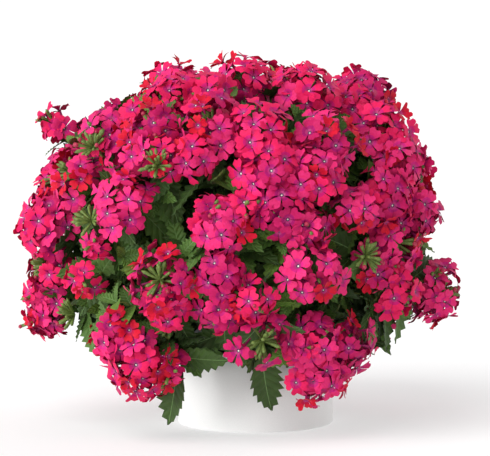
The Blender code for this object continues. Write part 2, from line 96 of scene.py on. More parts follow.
def new_object(data, turn=None):
    """An object for a mesh, a light or a camera, linked to the scene, and turned if asked."""
    made = bpy.data.objects.new(data.name, data)
    bpy.context.scene.collection.objects.link(made)
    if turn is not None:
        made.rotation_mode = "QUATERNION"
        made.rotation_quaternion = turn
    return made


pixels_of_focus = POT_PIXELS * CAMERA_DISTANCE / POT_WIDTH
lens = pixels_of_focus * SENSOR_WIDTH / PICTURE_WIDTH
back = Vector((0, -math.cos(CAMERA_RISE), math.sin(CAMERA_RISE)))
camera_data = bpy.data.cameras.new("photo_camera")
camera_data.lens = lens
camera_data.sensor_width = SENSOR_WIDTH
camera = new_object(camera_data, (-back).to_track_quat("-Z", "Y"))
camera.location = LOOK_AT + back * CAMERA_DISTANCE
bpy.context.scene.camera = camera
print("lens in mm:", round(lens, 1))

# %% [markdown]
# ## Colours and nodes
#
# Colours are read off as sRGB hex values, because that is how a screen names them. A shader
# works with linear light, so one function turns the hex value to linear. A second small
# function adds a node together with its settings and its links. A socket is called by its
# name, or by its number where several share one name.

# %% Colour and node helpers
WHITE = (1, 1, 1, 1)
# noise seldom leaves this range, so it is stretched to run from the one colour to the other
NOISE_LOW = 0.3
NOISE_HIGH = 0.7


def linear(hex_colour):
    """An sRGB hex value as linear red, green, blue and alpha, by the standard's own curve."""
    parts = [int(hex_colour[i:i + 2], 16) / 255 for i in (1, 3, 5)]
    return (*[p / 12.92 if p <= 0.04045 else ((p + 0.055) / 1.055) ** 2.4 for p in parts], 1)


def add_node(tree, kind, settings=None, links=None):
    """Add a node, give its sockets and properties their values, and link its inputs."""
    node = tree.nodes.new(kind)
    for name, value in (settings or {}).items():
        if isinstance(name, int) or name in node.inputs:
            node.inputs[name].default_value = value
        else:
            setattr(node, name, value)
    for name, source in (links or {}).items():
        tree.links.new(source, node.inputs[name])
    return node


def surface(name, colour, roughness, settings=None):
    """A Principled material with its plain values set on the shader's own sockets."""
    made = bpy.data.materials.new(name)
    made.use_nodes = True
    shader = made.node_tree.nodes["Principled BSDF"]
    shader.inputs["Base Color"].default_value = linear(colour)
    shader.inputs["Roughness"].default_value = roughness
    for socket, value in (settings or {}).items():
        shader.inputs[socket].default_value = value
    made.diffuse_color = linear(colour)
    return made


def mottled(made, colours, size, relief=0.0, detail=3.0):
    """Mix two colours by noise of a size in mm, and raise its light spots by a relief in mm."""
    tree = made.node_tree
    shader = tree.nodes["Principled BSDF"]
    place = add_node(tree, "ShaderNodeTexCoord")
    grain = add_node(tree, "ShaderNodeTexNoise", {"Scale": 1 / (size * MM), "Detail": detail},
                     {"Vector": place.outputs["Object"]})
    spread = add_node(tree, "ShaderNodeMapRange", {"From Min": NOISE_LOW, "From Max": NOISE_HIGH},
                      {"Value": grain.outputs["Fac"]})
    # sockets 6 and 7 of a Mix node are its two colours, and its output 2 is the mixed one
    blend = add_node(tree, "ShaderNodeMix",
                     {"data_type": "RGBA", 6: linear(colours[0]), 7: linear(colours[1])},
                     {0: spread.outputs["Result"]})
    tree.links.new(blend.outputs[2], shader.inputs["Base Color"])
    if relief:
        bump = add_node(tree, "ShaderNodeBump", {"Distance": relief * MM},
                        {"Height": grain.outputs["Fac"]})
        tree.links.new(bump.outputs["Normal"], shader.inputs["Normal"])
    return made


print("linear value of mid grey:", round(linear("#808080")[0], 3))

# %% [markdown]
# ## Studio
#
# The plant stands on a plain pale light table: an opal board that is lit a little from below,
# as product photographers use it, because it keeps the shadows pale. A wide soft window from
# the front left gives the light side of every flower, a low panel lights the pot's left below
# the overhanging crown, a weak panel from behind draws a pale rim down the right side, and a
# pale sky fills the shadows. The board is plain diffuse, so its brightness can be worked out:
# its own glow, and its colour times the light that falls on it.
# The sky that the camera sees gets just that brightness, and so the floor ends in no visible
# line.

# %% Floor and light
FLOOR_SIZE = 12.0
FLOOR_COLOUR = "#C6C6C6"
FLOOR_GLOW = 0.44
SKY_FILL = 0.52
# every soft light: where it comes from, its strength, and its width in degrees
LIGHTS = {
    "soft_window": ((-0.50, -0.66, 0.80), 1.85, 50),
    "low_left_panel": ((-0.92, -0.46, 0.12), 2.6, 40),
    "rim_panel": ((0.86, 0.58, 0.50), 0.65, 50),
}

floor_mesh = bpy.data.meshes.new("studio_floor")
bm = bmesh.new()
bmesh.ops.create_grid(bm, x_segments=1, y_segments=1, size=FLOOR_SIZE)
bm.to_mesh(floor_mesh)
bm.free()
floor = new_object(floor_mesh)
# opal acrylic board: matt, pale, without any gloss, lit softly from below
floor_mesh.materials.append(surface("opal_light_table", FLOOR_COLOUR, 1.0,
                                    {"Specular IOR Level": 0.0, "Emission Strength": FLOOR_GLOW,
                                     "Emission Color": WHITE}))
floor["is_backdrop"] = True

floor_light = SKY_FILL
for name, (comes_from, strength, width) in LIGHTS.items():
    sun_data = bpy.data.lights.new(name, "SUN")
    sun_data.energy = strength
    sun_data.angle = math.radians(width)
    new_object(sun_data, Vector(comes_from).to_track_quat("Z", "Y"))
    floor_light += strength * Vector(comes_from).normalized().z / math.pi

floor_brightness = FLOOR_GLOW + linear(FLOOR_COLOUR)[0] * floor_light
sky = bpy.data.worlds.new("pale_studio")
sky.use_nodes = True
light = sky.node_tree.nodes["Background"]
rays = add_node(sky.node_tree, "ShaderNodeLightPath")
seen = add_node(sky.node_tree, "ShaderNodeMapRange",
                {"To Min": SKY_FILL, "To Max": floor_brightness},
                {"Value": rays.outputs["Is Camera Ray"]})
light.inputs["Color"].default_value = WHITE
sky.node_tree.links.new(seen.outputs["Result"], light.inputs["Strength"])
bpy.context.scene.world = sky
bpy.context.scene.view_settings.view_transform = "Standard"
print("brightness of the floor:", round(floor_brightness, 3))

# %% [markdown]
# ## Joining many small shapes
#
# A verbena has thousands of petals and leaves. Modelling each one as an object would be slow,
# so one shape is modelled with bmesh operators, taken apart into arrays, and copied with a
# matrix for each place. All copies of one kind become a single mesh.

# %% Shapes and joined pieces
Shape = namedtuple("Shape", "points corners counts finishes uv")


def shape_of(bm):
    """Take a finished bmesh apart into arrays and free it."""
    bm.verts.index_update()
    points = np.array([vert.co for vert in bm.verts])
    corners = np.array([loop.vert.index for face in bm.faces for loop in face.loops])
    counts = np.array([len(face.verts) for face in bm.faces])
    finishes = np.array([face.material_index for face in bm.faces])
    layer = bm.loops.layers.uv.active
    uv = np.zeros((len(corners), 2))
    if layer:
        uv = np.array([loop[layer].uv for face in bm.faces for loop in face.loops])
    bm.free()
    return Shape(points, corners, counts, finishes, uv)


def joined(name, copies, finishes, stands_for=()):
    """Join copies, each a shape with its matrix, into one piece that rides on the plant."""
    points = [shape.points @ np.array(place)[:3, :3].T + np.array(place)[:3, 3]
              for shape, place in copies]
    starts = np.cumsum([0] + [len(part) for part in points[:-1]])
    corners = np.concatenate([shape.corners + start for (shape, _), start in zip(copies, starts)])
    counts = np.concatenate([shape.counts for shape, _ in copies])
    picks = np.concatenate([shape.finishes for shape, _ in copies])
    points = np.concatenate(points)
    mesh = bpy.data.meshes.new(name)
    mesh.vertices.add(len(points))
    mesh.vertices.foreach_set("co", points.ravel())
    mesh.loops.add(len(corners))
    mesh.loops.foreach_set("vertex_index", corners)
    mesh.polygons.add(len(counts))
    mesh.polygons.foreach_set("loop_start", np.cumsum(counts) - counts)
    mesh.polygons.foreach_set("material_index", picks)
    mesh.update(calc_edges=True)
    layer = mesh.uv_layers.new(name="surface")
    layer.uv.foreach_set("vector", np.concatenate([shape.uv for shape, _ in copies]).ravel())
    mesh.shade_smooth()
    for finish in finishes:
        mesh.materials.append(finish)
    piece = new_object(mesh)
    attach(piece, "root")
    if stands_for:
        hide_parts(*stands_for)
    print(name, "copies:", len(copies), "triangles:", int((counts - 2).sum()))
    return piece


# %% [markdown]
# ## The white cover pot
#
# The real pot is a straight, injection moulded cylinder with a flat floor. A lathe shape is
# the natural way to make it: half of its outline is drawn once and spun round the axis. The
# foot and the lip are rounded with short arcs, so that they catch a thin line of light. The
# wall is shaded smooth, and only edges that bend more than 40 degrees stay sharp.

# %% Turned pots
POT_RADIUS = 56 * MM
POT_HEIGHT = 56 * MM
POT_WALL = 2.6 * MM
POT_FLOOR = 3.0 * MM
POT_EDGE = 1.5 * MM
TURN_STEPS = 112
ARC_STEPS = 5
SHARP_FROM = 40
# points nearer than this are merged into one
SAME_PLACE = 0.02 * MM


def arc(middle, radius, first, last):
    """Points on an arc of the outline, between two angles in degrees."""
    angles = [math.radians(first + (last - first) * i / ARC_STEPS) for i in range(ARC_STEPS + 1)]
    return [(middle[0] + radius * math.cos(a), middle[1] + radius * math.sin(a)) for a in angles]


def turned(outline):
    """Spin an outline of (radius, height) points round the pot's axis."""
    bm = bmesh.new()
    row = [bm.verts.new((radius, 0, height)) for radius, height in outline]
    edges = [bm.edges.new(pair) for pair in zip(row, row[1:])]
    bmesh.ops.spin(bm, geom=row + edges, cent=(0, 0, 0), axis=(0, 0, 1), angle=math.tau,
                   steps=TURN_STEPS, use_merge=True)
    bmesh.ops.remove_doubles(bm, verts=bm.verts, dist=SAME_PLACE)
    bmesh.ops.recalc_face_normals(bm, faces=bm.faces)
    return bm


def turned_pot(name, outline, finish, node):
    """A pot spun from its outline, which stands for a node of the frame."""
    pot = joined(name, [(shape_of(turned(outline)), Matrix())], [finish], [node])
    pot.data.set_sharp_from_angle(angle=math.radians(SHARP_FROM))


# Injection moulded polypropylene, satin: a soft broad highlight on an even, faintly
# pebbled white wall. The pebble is the mould's spark finish, drawn at 0.8 mm.
white_plastic = mottled(surface("moulded_white_polypropylene", "#F0F0EF", 0.34, {"IOR": 1.49}),
                        ("#EFEFEE", "#F3F3F2"), 0.8, relief=0.02)
lip = POT_WALL / 2
pot_outline = [(0, 0), (POT_RADIUS - POT_EDGE, 0)]
pot_outline += arc((POT_RADIUS - POT_EDGE, POT_EDGE), POT_EDGE, -90, 0)[1:]
pot_outline += arc((POT_RADIUS - lip, POT_HEIGHT - lip), lip, 0, 180)
pot_outline += [(POT_RADIUS - POT_WALL, POT_FLOOR + POT_EDGE)]
pot_outline += [(POT_RADIUS - POT_WALL - POT_EDGE, POT_FLOOR), (0, POT_FLOOR)]
turned_pot("smooth_cover_pot", pot_outline, white_plastic, "cover_pot")

# %% [markdown]
# ## The dark nursery pot
#
# The verbena was sold in a thin, tapered, vacuum formed pot. Its stepped lip stands above the
# white wall and shows darkly between the leaves. The same lathe function makes it. Its lip is
# rolled, so the outline gets an arc at the lip's foot and another at its top.

# %% Nursery pot
NURSERY_FOOT_RADIUS = 37 * MM
NURSERY_RIM_RADIUS = 49 * MM
NURSERY_RIM_Z = 87 * MM
NURSERY_LIP_HEIGHT = 6 * MM
NURSERY_LIP_STEP = 1.6 * MM
NURSERY_WALL = 1.4 * MM
CLEARANCE = 0.3 * MM
SOIL_BELOW_RIM = 6 * MM


def nursery_radius(height):
    """Outer radius of the tapered wall at a height."""
    foot = POT_FLOOR + CLEARANCE
    share = (height - foot) / (NURSERY_RIM_Z - foot)
    top = NURSERY_RIM_RADIUS - NURSERY_LIP_STEP
    return NURSERY_FOOT_RADIUS + share * (top - NURSERY_FOOT_RADIUS)


# Thermoformed dark polystyrene: a dull sheen, rubbed and faintly scuffed by handling.
dark_plastic = mottled(surface("thermoformed_dark_polystyrene", "#33343C", 0.52, {"IOR": 1.55}),
                       ("#2E2F36", "#3A3B44"), 6.0, relief=0.05)
foot_z = POT_FLOOR + CLEARANCE
lip_z = NURSERY_RIM_Z - NURSERY_LIP_HEIGHT
roll = NURSERY_LIP_STEP / 2
nursery_outline = [(0, foot_z), (nursery_radius(foot_z), foot_z), (nursery_radius(lip_z), lip_z)]
nursery_outline += arc((NURSERY_RIM_RADIUS - roll, lip_z + roll), roll, -90, 0)
nursery_outline += arc((NURSERY_RIM_RADIUS - roll, NURSERY_RIM_Z - roll), roll, 0, 90)
nursery_outline += [(nursery_radius(NURSERY_RIM_Z) - NURSERY_WALL, NURSERY_RIM_Z - roll)]
nursery_outline += [(nursery_radius(foot_z) - NURSERY_WALL, foot_z + NURSERY_WALL)]
nursery_outline += [(0, foot_z + NURSERY_WALL)]
turned_pot("rolled_nursery_pot", nursery_outline, dark_plastic, "nursery_pot")

# %% [markdown]
# ## Potting soil
#
# Peat soil fills the nursery pot to a few millimetres below its rim. The solid keeps its
# place and gets a crumbly material. Loose crumbs lie on it: each is an icosphere of twenty
# faces, squashed and turned by chance.

# %% Soil
SOIL_TOP = NURSERY_RIM_Z - SOIL_BELOW_RIM
CRUMBS = 420
CRUMB_SIZES = (0.7 * MM, 2.0 * MM)
# a crumb's width and height as shares of its length, and how far it stands out of the soil
CRUMB_WIDTHS = (0.6, 1)
CRUMB_HEIGHTS = (0.4, 0.9)
CRUMB_RISE = 0.3
CRUMB_TURNS = 7
SOIL_EDGE = 42 * MM

# Sieved peat with bark fines: almost black where damp, brown where dry, and quite matt.
peat = mottled(surface("sieved_peat_soil", "#2A2018", 0.95), ("#17110C", "#443326"), 2.5,
               relief=1.2, detail=8.0)
nodes["soil"].data.materials.clear()
nodes["soil"].data.materials.append(peat)


def polar(turn, width, height):
    """A vector by its turn round the upright axis, its width and its height."""
    return Vector((width * math.cos(turn), width * math.sin(turn), height))


bm = bmesh.new()
bmesh.ops.create_icosphere(bm, subdivisions=1, radius=1)
crumb = shape_of(bm)
rng = dice("crumbs")
crumbs = []
for _ in range(CRUMBS):
    size = rng.uniform(*CRUMB_SIZES)
    turn = rng.uniform(0, math.tau)
    away = SOIL_EDGE * math.sqrt(rng.random())
    spot = polar(turn, away, SOIL_TOP + size * CRUMB_RISE)
    squash = Matrix.Diagonal((size, size * rng.uniform(*CRUMB_WIDTHS),
                              size * rng.uniform(*CRUMB_HEIGHTS), 1))
    twist = Matrix.Rotation(turn * CRUMB_TURNS, 4, "Z")
    crumbs.append((crumb, Matrix.Translation(spot) @ twist @ squash))
joined("soil_crumbs", crumbs, [peat])

# %% [markdown]
# ## How the plant grows
#
# Verbena makes many slender shoots from a short woody foot. Every shoot arches outwards,
# forks, and ends in domed flower heads that sit on the surface of a rounded crown. The next
# cells write down that rule again: the crown's form, where the heads sit on it, and the
# smooth way of each shoot from its seat on the foot to its heads.

# %% The crown and its flower heads
# the woody foot: its radius, and how high its middle lies above the soil
BASE_RADIUS = 13 * MM
BASE_RISE = 8.5 * MM
# the crown: its middle, how far it reaches sideways, up and down, and how square its outline is
CROWN_MIDDLE = Vector((-12 * MM, 0, 135 * MM))
CROWN_RADIUS = 149 * MM
CROWN_RISE = 124 * MM
CROWN_FALL = 100 * MM
CROWN_SQUARENESS = 3.2
# heads face away from one point in the crown. They lie this deep below its surface and up to
# the sink deeper, by chance, and lean a little
HEADS_AIM = Vector((-8 * MM, 0, 100 * MM))
HEAD_DEPTH = 11 * MM
HEAD_SINK = 7 * MM
HEAD_LEAN = 0.14

# every shoot's flower heads: bearing round the pot in degrees, height in mm, and how many mm
# deeper than the crown's surface
SHOOTS = {
    "top_left": ((242, 246, 3), (262, 228, 0), (205, 257, 7)),
    "top_front": ((274, 257, -3), (276, 221, 0)),
    "top_middle": ((304, 250, 2), (298, 214, 0)),
    "top_right": ((344, 246, 5), (322, 219, 0)),
    "left_upper": ((224, 218, 0), (248, 206, 0)),
    "left": ((213, 192, 0), (236, 171, 0)),
    "left_side": ((194, 147, 0), (224, 141, 0)),
    "left_low": ((194, 119, -2), (188, 84, -3), (220, 113, 0)),
    "heart": ((279, 199, 0), (282, 171, 0), (290, 155, 0)),
    "right": ((324, 197, 0), (304, 165, 0), (327, 161, 0)),
    "right_low": ((320, 140, 0), (316, 122, 0)),
    "right_tip": ((344, 99, -8), (322, 103, 0)),
    "front_right": ((292, 122, 0),),
    "front_left": ((248, 116, 0),),
    "front": ((265, 156, 0), (266, 120, 0), (273, 103, 0)),
    "hem_front": ((277, 73, 0),),
    "hem_right": ((300, 49, -11),),
    "hem_left": ((236, 54, -8),),
    "back_top_right": ((25, 246, 7), (68, 249, 6), (50, 222, 0), (340, 258, 10)),
    "back_top_left": ((112, 249, 5), (154, 214, 4), (130, 222, 3), (100, 258, 8)),
    "back_upper_right": ((16, 194, 12), (44, 190, 0), (82, 208, 0)),
    "back_upper_left": ((106, 190, 0), (154, 180, 0), (184, 188, 12)),
    "back_right": ((8, 160, 10), (30, 150, 0), (58, 170, 0)),
    "back_left": ((128, 168, 0), (162, 146, 0)),
    "back_middle": ((90, 158, 0), (90, 116, 0), (88, 70, 0)),
    "back_low_right": ((42, 112, 0), (12, 92, 0), (34, 62, 0)),
    "back_low_left": ((140, 114, 0), (168, 92, 0), (128, 60, 0)),
}


def crown_reach(height):
    """Horizontal distance of the crown's surface from its middle at a height."""
    rise = height - CROWN_MIDDLE.z
    share = abs(rise) / (CROWN_RISE if rise > 0 else CROWN_FALL)
    return CROWN_RADIUS * max(0, 1 - share ** CROWN_SQUARENESS) ** (1 / CROWN_SQUARENESS)


def round_crown(bearing, distance, height):
    """A point given by bearing in degrees, distance from the crown's middle, and height."""
    turn = math.radians(bearing)
    return Vector((CROWN_MIDDLE.x + distance * math.cos(turn),
                   CROWN_MIDDLE.y + distance * math.sin(turn), height))


def chance_way(rng, size):
    """A small vector of chance."""
    return Vector([rng.uniform(-size, size) for _ in range(3)])


def heads_at(places, rng):
    """Hub and axis of the flower heads at some places on the crown."""
    heads = []
    for bearing, millimetres, deeper in places:
        height = millimetres * MM
        skin = round_crown(bearing, crown_reach(height), height)
        axis = (skin - HEADS_AIM).normalized()
        depth = HEAD_DEPTH + rng.uniform(0, HEAD_SINK) + deeper * MM
        lean = chance_way(rng, HEAD_LEAN)
        heads.append((skin - axis * depth, (axis + lean).normalized()))
    return heads


def flower_heads(name):
    """Hub and axis of a shoot's main flower heads, the same at every call."""
    return heads_at(SHOOTS[name], dice(f"heads {name}"))


print("shoots:", len(SHOOTS), "flower heads:", sum(len(heads) for heads in SHOOTS.values()))

# %% [markdown]
# ## The way of every shoot
#
# A shoot leaves the woody foot straight out and arrives at its heads along their axis. A cubic
# curve of four control points does just that: the two in the middle lie ahead of the start and
# behind the end. Low shoots leave from a low ring round the foot and high ones from above, and
# boughs in one ring are pushed apart until they keep an even distance.

# %% The way of every shoot
# how far along its way a shoot's bough ends, and where it forks
BOUGH_SHARE = 0.52
FORK_SHARE = 0.72
# rings of seats on the foot: how steeply boughs leave it, in degrees, and how many they are
BOUGH_RINGS = ((10, 11), (38, 9), (66, 6), (90, 1))
# boughs of a ring are pushed apart to this share of an even spacing, a part of the way a round
SEAT_SPACING = 0.8
SEAT_ROUNDS = 200
SEAT_PUSH = 0.25
# how far the middle control points lie from the ends, as shares of the straight way
LEAVE_SHARE = 0.30
ARRIVE_SHARE = 0.34
# low shoots arch over the pot's rim, and high ones are nearly straight
LOW_Z = 60 * MM
HIGH_Z = 210 * MM
ARCH_LOW = 62 * MM
ARCH_HIGH = 8 * MM
base_middle = Vector((0, 0, SOIL_TOP + BASE_RISE))


def bezier(points, share):
    """A point on the cubic curve of four control points."""
    a, b, c, d = points
    rest = 1 - share
    return (a * rest ** 3 + b * 3 * rest ** 2 * share
            + c * 3 * rest * share ** 2 + d * share ** 3)


def share_between(value, start, end):
    """How far a value lies on the way from a start to an end, from 0 to 1."""
    return min(1, max(0, (value - start) / (end - start)))


def mean_point(points):
    """The middle of some points."""
    return sum(points, Vector()) / len(points)


def bearing_of(point):
    """The direction of a point from the pot's axis, in degrees round it."""
    return math.degrees(math.atan2(point.y, point.x)) % 360


def climb(point):
    """How steeply a point lies above the stem base."""
    away = point - base_middle
    return math.atan2(away.z, math.hypot(away.x, away.y))


def spread_bearings(bearings):
    """Push bearings apart until boughs seated in one ring keep an even distance."""
    count = len(bearings)
    least = SEAT_SPACING * 360 / count
    spread = list(bearings)
    for _ in range(SEAT_ROUNDS):
        for i in range(count if count > 1 else 0):
            j = (i + 1) % count
            gap = (spread[j] - spread[i]) % 360
            if gap < least:
                push = (least - gap) * SEAT_PUSH
                spread[i] -= push
                spread[j] += push
    return spread


def seat_directions():
    """The direction in which each bough leaves the foot: low shoots from its low ring."""
    middles = {name: mean_point([hub for hub, _ in flower_heads(name)]) for name in SHOOTS}
    ranked = sorted(SHOOTS, key=lambda name: climb(middles[name]))
    directions = {}
    for elevation, count in BOUGH_RINGS:
        ring = ranked[:count]
        ranked = ranked[count:]
        ring.sort(key=lambda name: bearing_of(middles[name]))
        bearings = spread_bearings([bearing_of(middles[name]) for name in ring])
        for name, bearing in zip(ring, bearings):
            up = math.radians(elevation)
            directions[name] = polar(math.radians(bearing), math.cos(up), math.sin(up))
    return directions


def limb_way(name, direction):
    """The four control points of a limb, from the foot to the middle of its heads."""
    hubs = flower_heads(name)
    end = mean_point([hub for hub, _ in hubs])
    axis = sum((axis for _, axis in hubs), Vector()).normalized()
    start = base_middle + direction * (BASE_RADIUS + CLEARANCE)
    reach = (end - start).length
    arch = ARCH_HIGH + share_between(end.z, HIGH_Z, LOW_Z) * (ARCH_LOW - ARCH_HIGH)
    away = start + direction * reach * LEAVE_SHARE
    inward = end - axis * reach * ARRIVE_SHARE + Vector((0, 0, arch))
    return start, away, inward, end


ways = {name: limb_way(name, direction) for name, direction in seat_directions().items()}
print("longest way in mm:", round(max((way[3] - way[0]).length for way in ways.values()) / MM))

# %% [markdown]
# ## Stems
#
# A verbena stem is square with rounded corners, and it swells at the knots, where its leaves
# sit. A round tube would look like wire. So each ring of the tube has eight points, in turn a
# little further out and further in, and rings near a knot are wider. The rings are circles
# bridged one to the next, turned along with the curve so that the tube never twists.

# %% Square stems with knots
# points round a ring, how far every second one is drawn in, and the swelling at the knots:
# its strength, its spacing, and how far it reaches either way as a share of that
STEM_CORNERS = 8
CORNER_RELIEF = 0.14
KNOT_SWELL = 0.30
KNOT_SPACING = 17 * MM
KNOT_REACH = 0.25


def curve_points(way, first, last, count):
    """Evenly counted points along part of a cubic way."""
    return [bezier(way, first + (last - first) * i / count) for i in range(count + 1)]


def stem_tube(points, thick, thin):
    """A tapering square stem through some points, closed at both ends."""
    bm = bmesh.new()
    ahead = (points[1] - points[0]).normalized()
    turn = UP.rotation_difference(ahead)
    rings = []
    last = len(points) - 1
    walked = 0.0
    for i, point in enumerate(points):
        onward = (points[min(last, i + 1)] - points[max(0, i - 1)]).normalized()
        turn = ahead.rotation_difference(onward) @ turn
        ahead = onward
        walked += (point - points[max(0, i - 1)]).length
        near_knot = max(0.0, 1 - abs(walked / KNOT_SPACING % 1 - 0.5) / KNOT_REACH)
        radius = (thick + (thin - thick) * i / last) * (1 + KNOT_SWELL * near_knot)
        place = Matrix.Translation(point) @ turn.to_matrix().to_4x4()
        made = bmesh.ops.create_circle(bm, cap_ends=i in (0, last), segments=STEM_CORNERS,
                                       radius=radius, matrix=place)
        for corner in made["verts"][1::2]:
            corner.co = corner.co.lerp(point, CORNER_RELIEF)
        edges = [edge for vert in made["verts"] for edge in vert.link_edges]
        rings.append(list(dict.fromkeys(edges)))
    for near, far in zip(rings, rings[1:]):
        bmesh.ops.bridge_loops(bm, edges=near + far)
    bmesh.ops.recalc_face_normals(bm, faces=bm.faces)
    if bm.calc_volume(signed=True) < 0:
        bmesh.ops.reverse_faces(bm, faces=bm.faces)
    return bm


def stem_copy(points, thick, thin):
    """A stem where it grows, as a shape with its matrix that is ready to be joined."""
    return shape_of(stem_tube(points, thick, thin)), Matrix()


BOUGH_THICK = 2.1 * MM
BOUGH_THIN = 1.5 * MM
BOUGH_POINTS = 26

# Living green stem, four ridged: dull, with a straw and a purple tinge, and a fine down.
green_bark = mottled(surface("downy_green_stem", "#6C8438", 0.62), ("#56702C", "#8C9448"), 5.0,
                     relief=0.12)
boughs = [stem_copy(curve_points(way, 0, BOUGH_SHARE, BOUGH_POINTS), BOUGH_THICK, BOUGH_THIN)
          for way in ways.values()]
joined("square_boughs", boughs, [green_bark], [f"bough_{name}" for name in SHOOTS])

# %% [markdown]
# ## The woody foot
#
# Where the shoots start, last year's wood forms a gnarled knuckle. An icosphere is cut flat
# at the soil, and its points are pushed in and out by noise: broad lumps first, then fine
# upright cracks, which is how bark on a short stem splits.

# %% Knuckle with bark relief
# broad lumps and fine cracks: how wide and how deep, and how many times longer than wide
LUMP_SIZE = 11 * MM
LUMP_DEPTH = 1.5 * MM
CRACK_SIZE = 1.6 * MM
CRACK_DEPTH = 0.7 * MM
CRACK_STRETCH = 4

bm = bmesh.new()
bmesh.ops.create_icosphere(bm, subdivisions=5, radius=BASE_RADIUS)
bmesh.ops.translate(bm, verts=bm.verts, vec=base_middle)
ground = Vector((0, 0, SOIL_TOP + CLEARANCE))
cut = bmesh.ops.bisect_plane(bm, geom=bm.verts[:] + bm.edges[:] + bm.faces[:], plane_co=ground,
                             plane_no=UP, clear_inner=True)
rim = [item for item in cut["geom_cut"] if isinstance(item, bmesh.types.BMEdge)]
bmesh.ops.edgeloop_fill(bm, edges=rim)
for vert in bm.verts:
    away = (vert.co - base_middle).normalized()
    lumps = noise.noise(vert.co / LUMP_SIZE) * LUMP_DEPTH
    upright = Vector((vert.co.x, vert.co.y, vert.co.z / CRACK_STRETCH)) / CRACK_SIZE
    cracks = abs(noise.noise(upright)) * CRACK_DEPTH
    push = away * (lumps - cracks - LUMP_DEPTH / 2)
    vert.co += push if vert.co.z > ground.z + CLEARANCE else Vector((push.x, push.y, 0))
bmesh.ops.recalc_face_normals(bm, faces=bm.faces)

# Old verbena wood: grey brown, dry and cracked, darker in its cracks.
old_bark = mottled(surface("cracked_old_wood", "#6B5238", 0.85), ("#4A3723", "#8A6E4C"), 1.6,
                   relief=0.3, detail=6.0)
joined("gnarled_foot", [(shape_of(bm), Matrix())], [old_bark], ["stem_base"])

# %% [markdown]
# ## One leaf
#
# The leaves are lance shaped, 30 to 47 mm long, with deep blunt teeth, a pale midrib and
# veins that lie sunken. A leaf is a small grid: three faces across, of which the narrow
# middle one is the midrib, and two rows for every tooth. The grid's points are then moved to
# the outline: in at the notches, out and forward at the teeth. A few variants bend
# differently, so that neighbours seldom look alike.

# %% Leaf shapes
# widths and steps are shares of the leaf's length
LEAF_ROWS = 14
LEAF_WIDTH = 0.54
# how fast the blade widens at its foot and narrows to its point, and the factor that brings
# the widest place to 1
BLADE_FOOT = 0.66
BLADE_POINT = 0.95
BLADE_SCALE = 2.97
MIDRIB_WIDTH = 0.018
MIDRIB_TAPER = 0.6
TIP_WIDTH = 0.001
TOOTH_NOTCH = 0.74
TOOTH_FORWARD = 0.03
STALK_ROWS = 1
LEAF_VARIANTS = 6
# the ranges of a leaf's bends, as shares of its length
LEAF_DROOPS = (0.10, 0.34)
HANGING_DROOPS = (0.0, 0.05)
LEAF_FOLDS = (0.05, 0.28)
LEAF_SWEEPS = (-0.10, 0.10)
LEAF_RIPPLES = (0.010, 0.030)


def leaf_half_width(share):
    """Half width of the blade, of the leaf's length: an egg shape with a long point."""
    return LEAF_WIDTH / 2 * BLADE_SCALE * share ** BLADE_FOOT * (1 - share) ** BLADE_POINT


def leaf_shape(rng, droops):
    """A toothed leaf of length 1 along +Y, its upper side up, bent by chance."""
    bm = bmesh.new()
    bmesh.ops.create_grid(bm, x_segments=3, y_segments=LEAF_ROWS, size=0.5)
    uv = bm.loops.layers.uv.new("surface")
    droop = rng.uniform(*droops)
    fold = rng.uniform(*LEAF_FOLDS)
    sweep = rng.uniform(*LEAF_SWEEPS)
    ripple = rng.uniform(*LEAF_RIPPLES)
    # the grid is one wide: its outer points stand at 0.5, its inner ones at a sixth
    for face in bm.faces:
        face.material_index = 1 if abs(face.calc_center_median().x) < 0.1 else 0
        for loop in face.loops:
            loop[uv].uv = (loop.vert.co.x + 0.5, loop.vert.co.y + 0.5)
    for vert in bm.verts:
        row = round((vert.co.y + 0.5) * LEAF_ROWS)
        share = row / LEAF_ROWS
        side = math.copysign(1, vert.co.x)
        outer = abs(vert.co.x) > 0.4
        tooth = row % 2 == 0
        if outer:
            half = max(leaf_half_width(share), MIDRIB_WIDTH / 2)
            across = half * (1 if tooth or row <= STALK_ROWS else TOOTH_NOTCH)
            along = share + (TOOTH_FORWARD if tooth and 0 < share < 1 else 0)
        else:
            across = MIDRIB_WIDTH / 2 * (1 - MIDRIB_TAPER * share)
            along = share
        across = max(across, MIDRIB_WIDTH / 2 * (1 - share) + TIP_WIDTH)
        lift = fold * across + (ripple * (1 if tooth else -1) if outer else 0)
        bend = droop * along ** 2
        vert.co = Vector((side * across + sweep * along ** 2, along, lift - bend))
    return shape_of(bm)


rng = dice("leaves")
leaf_shapes = [leaf_shape(rng, LEAF_DROOPS) for _ in range(LEAF_VARIANTS)]
hanging_shapes = [leaf_shape(rng, HANGING_DROOPS) for _ in range(LEAF_VARIANTS)]
print("faces of a leaf:", len(leaf_shapes[0].counts))

# %% [markdown]
# ## Leaf surface
#
# Side veins run from the midrib to the teeth, and the blade swells between them. The pattern
# follows the leaf's own UV map: a wave along the leaf that is bent towards the tip on its way
# to the edges. It only drives relief. The colours are four plain greens, dealt out leaf by
# leaf. The darkest, deep, is painted shade: it stands in for the shade inside the crown, and
# leaves get it more often the deeper they sit.

# %% Leaf materials
VEINS = 7
VEIN_SWEEP = 0.55
QUILT_DEPTH = 0.45 * MM
# the deep green is painted shade, for leaves in the shade inside the crown
LEAF_GREENS = {
    "deep": ("#304818", "#3C5820"),
    "mid": ("#446426", "#52742E"),
    "bright": ("#577A2A", "#648632"),
    "grey": ("#4C6C3A", "#5A7C44"),
}


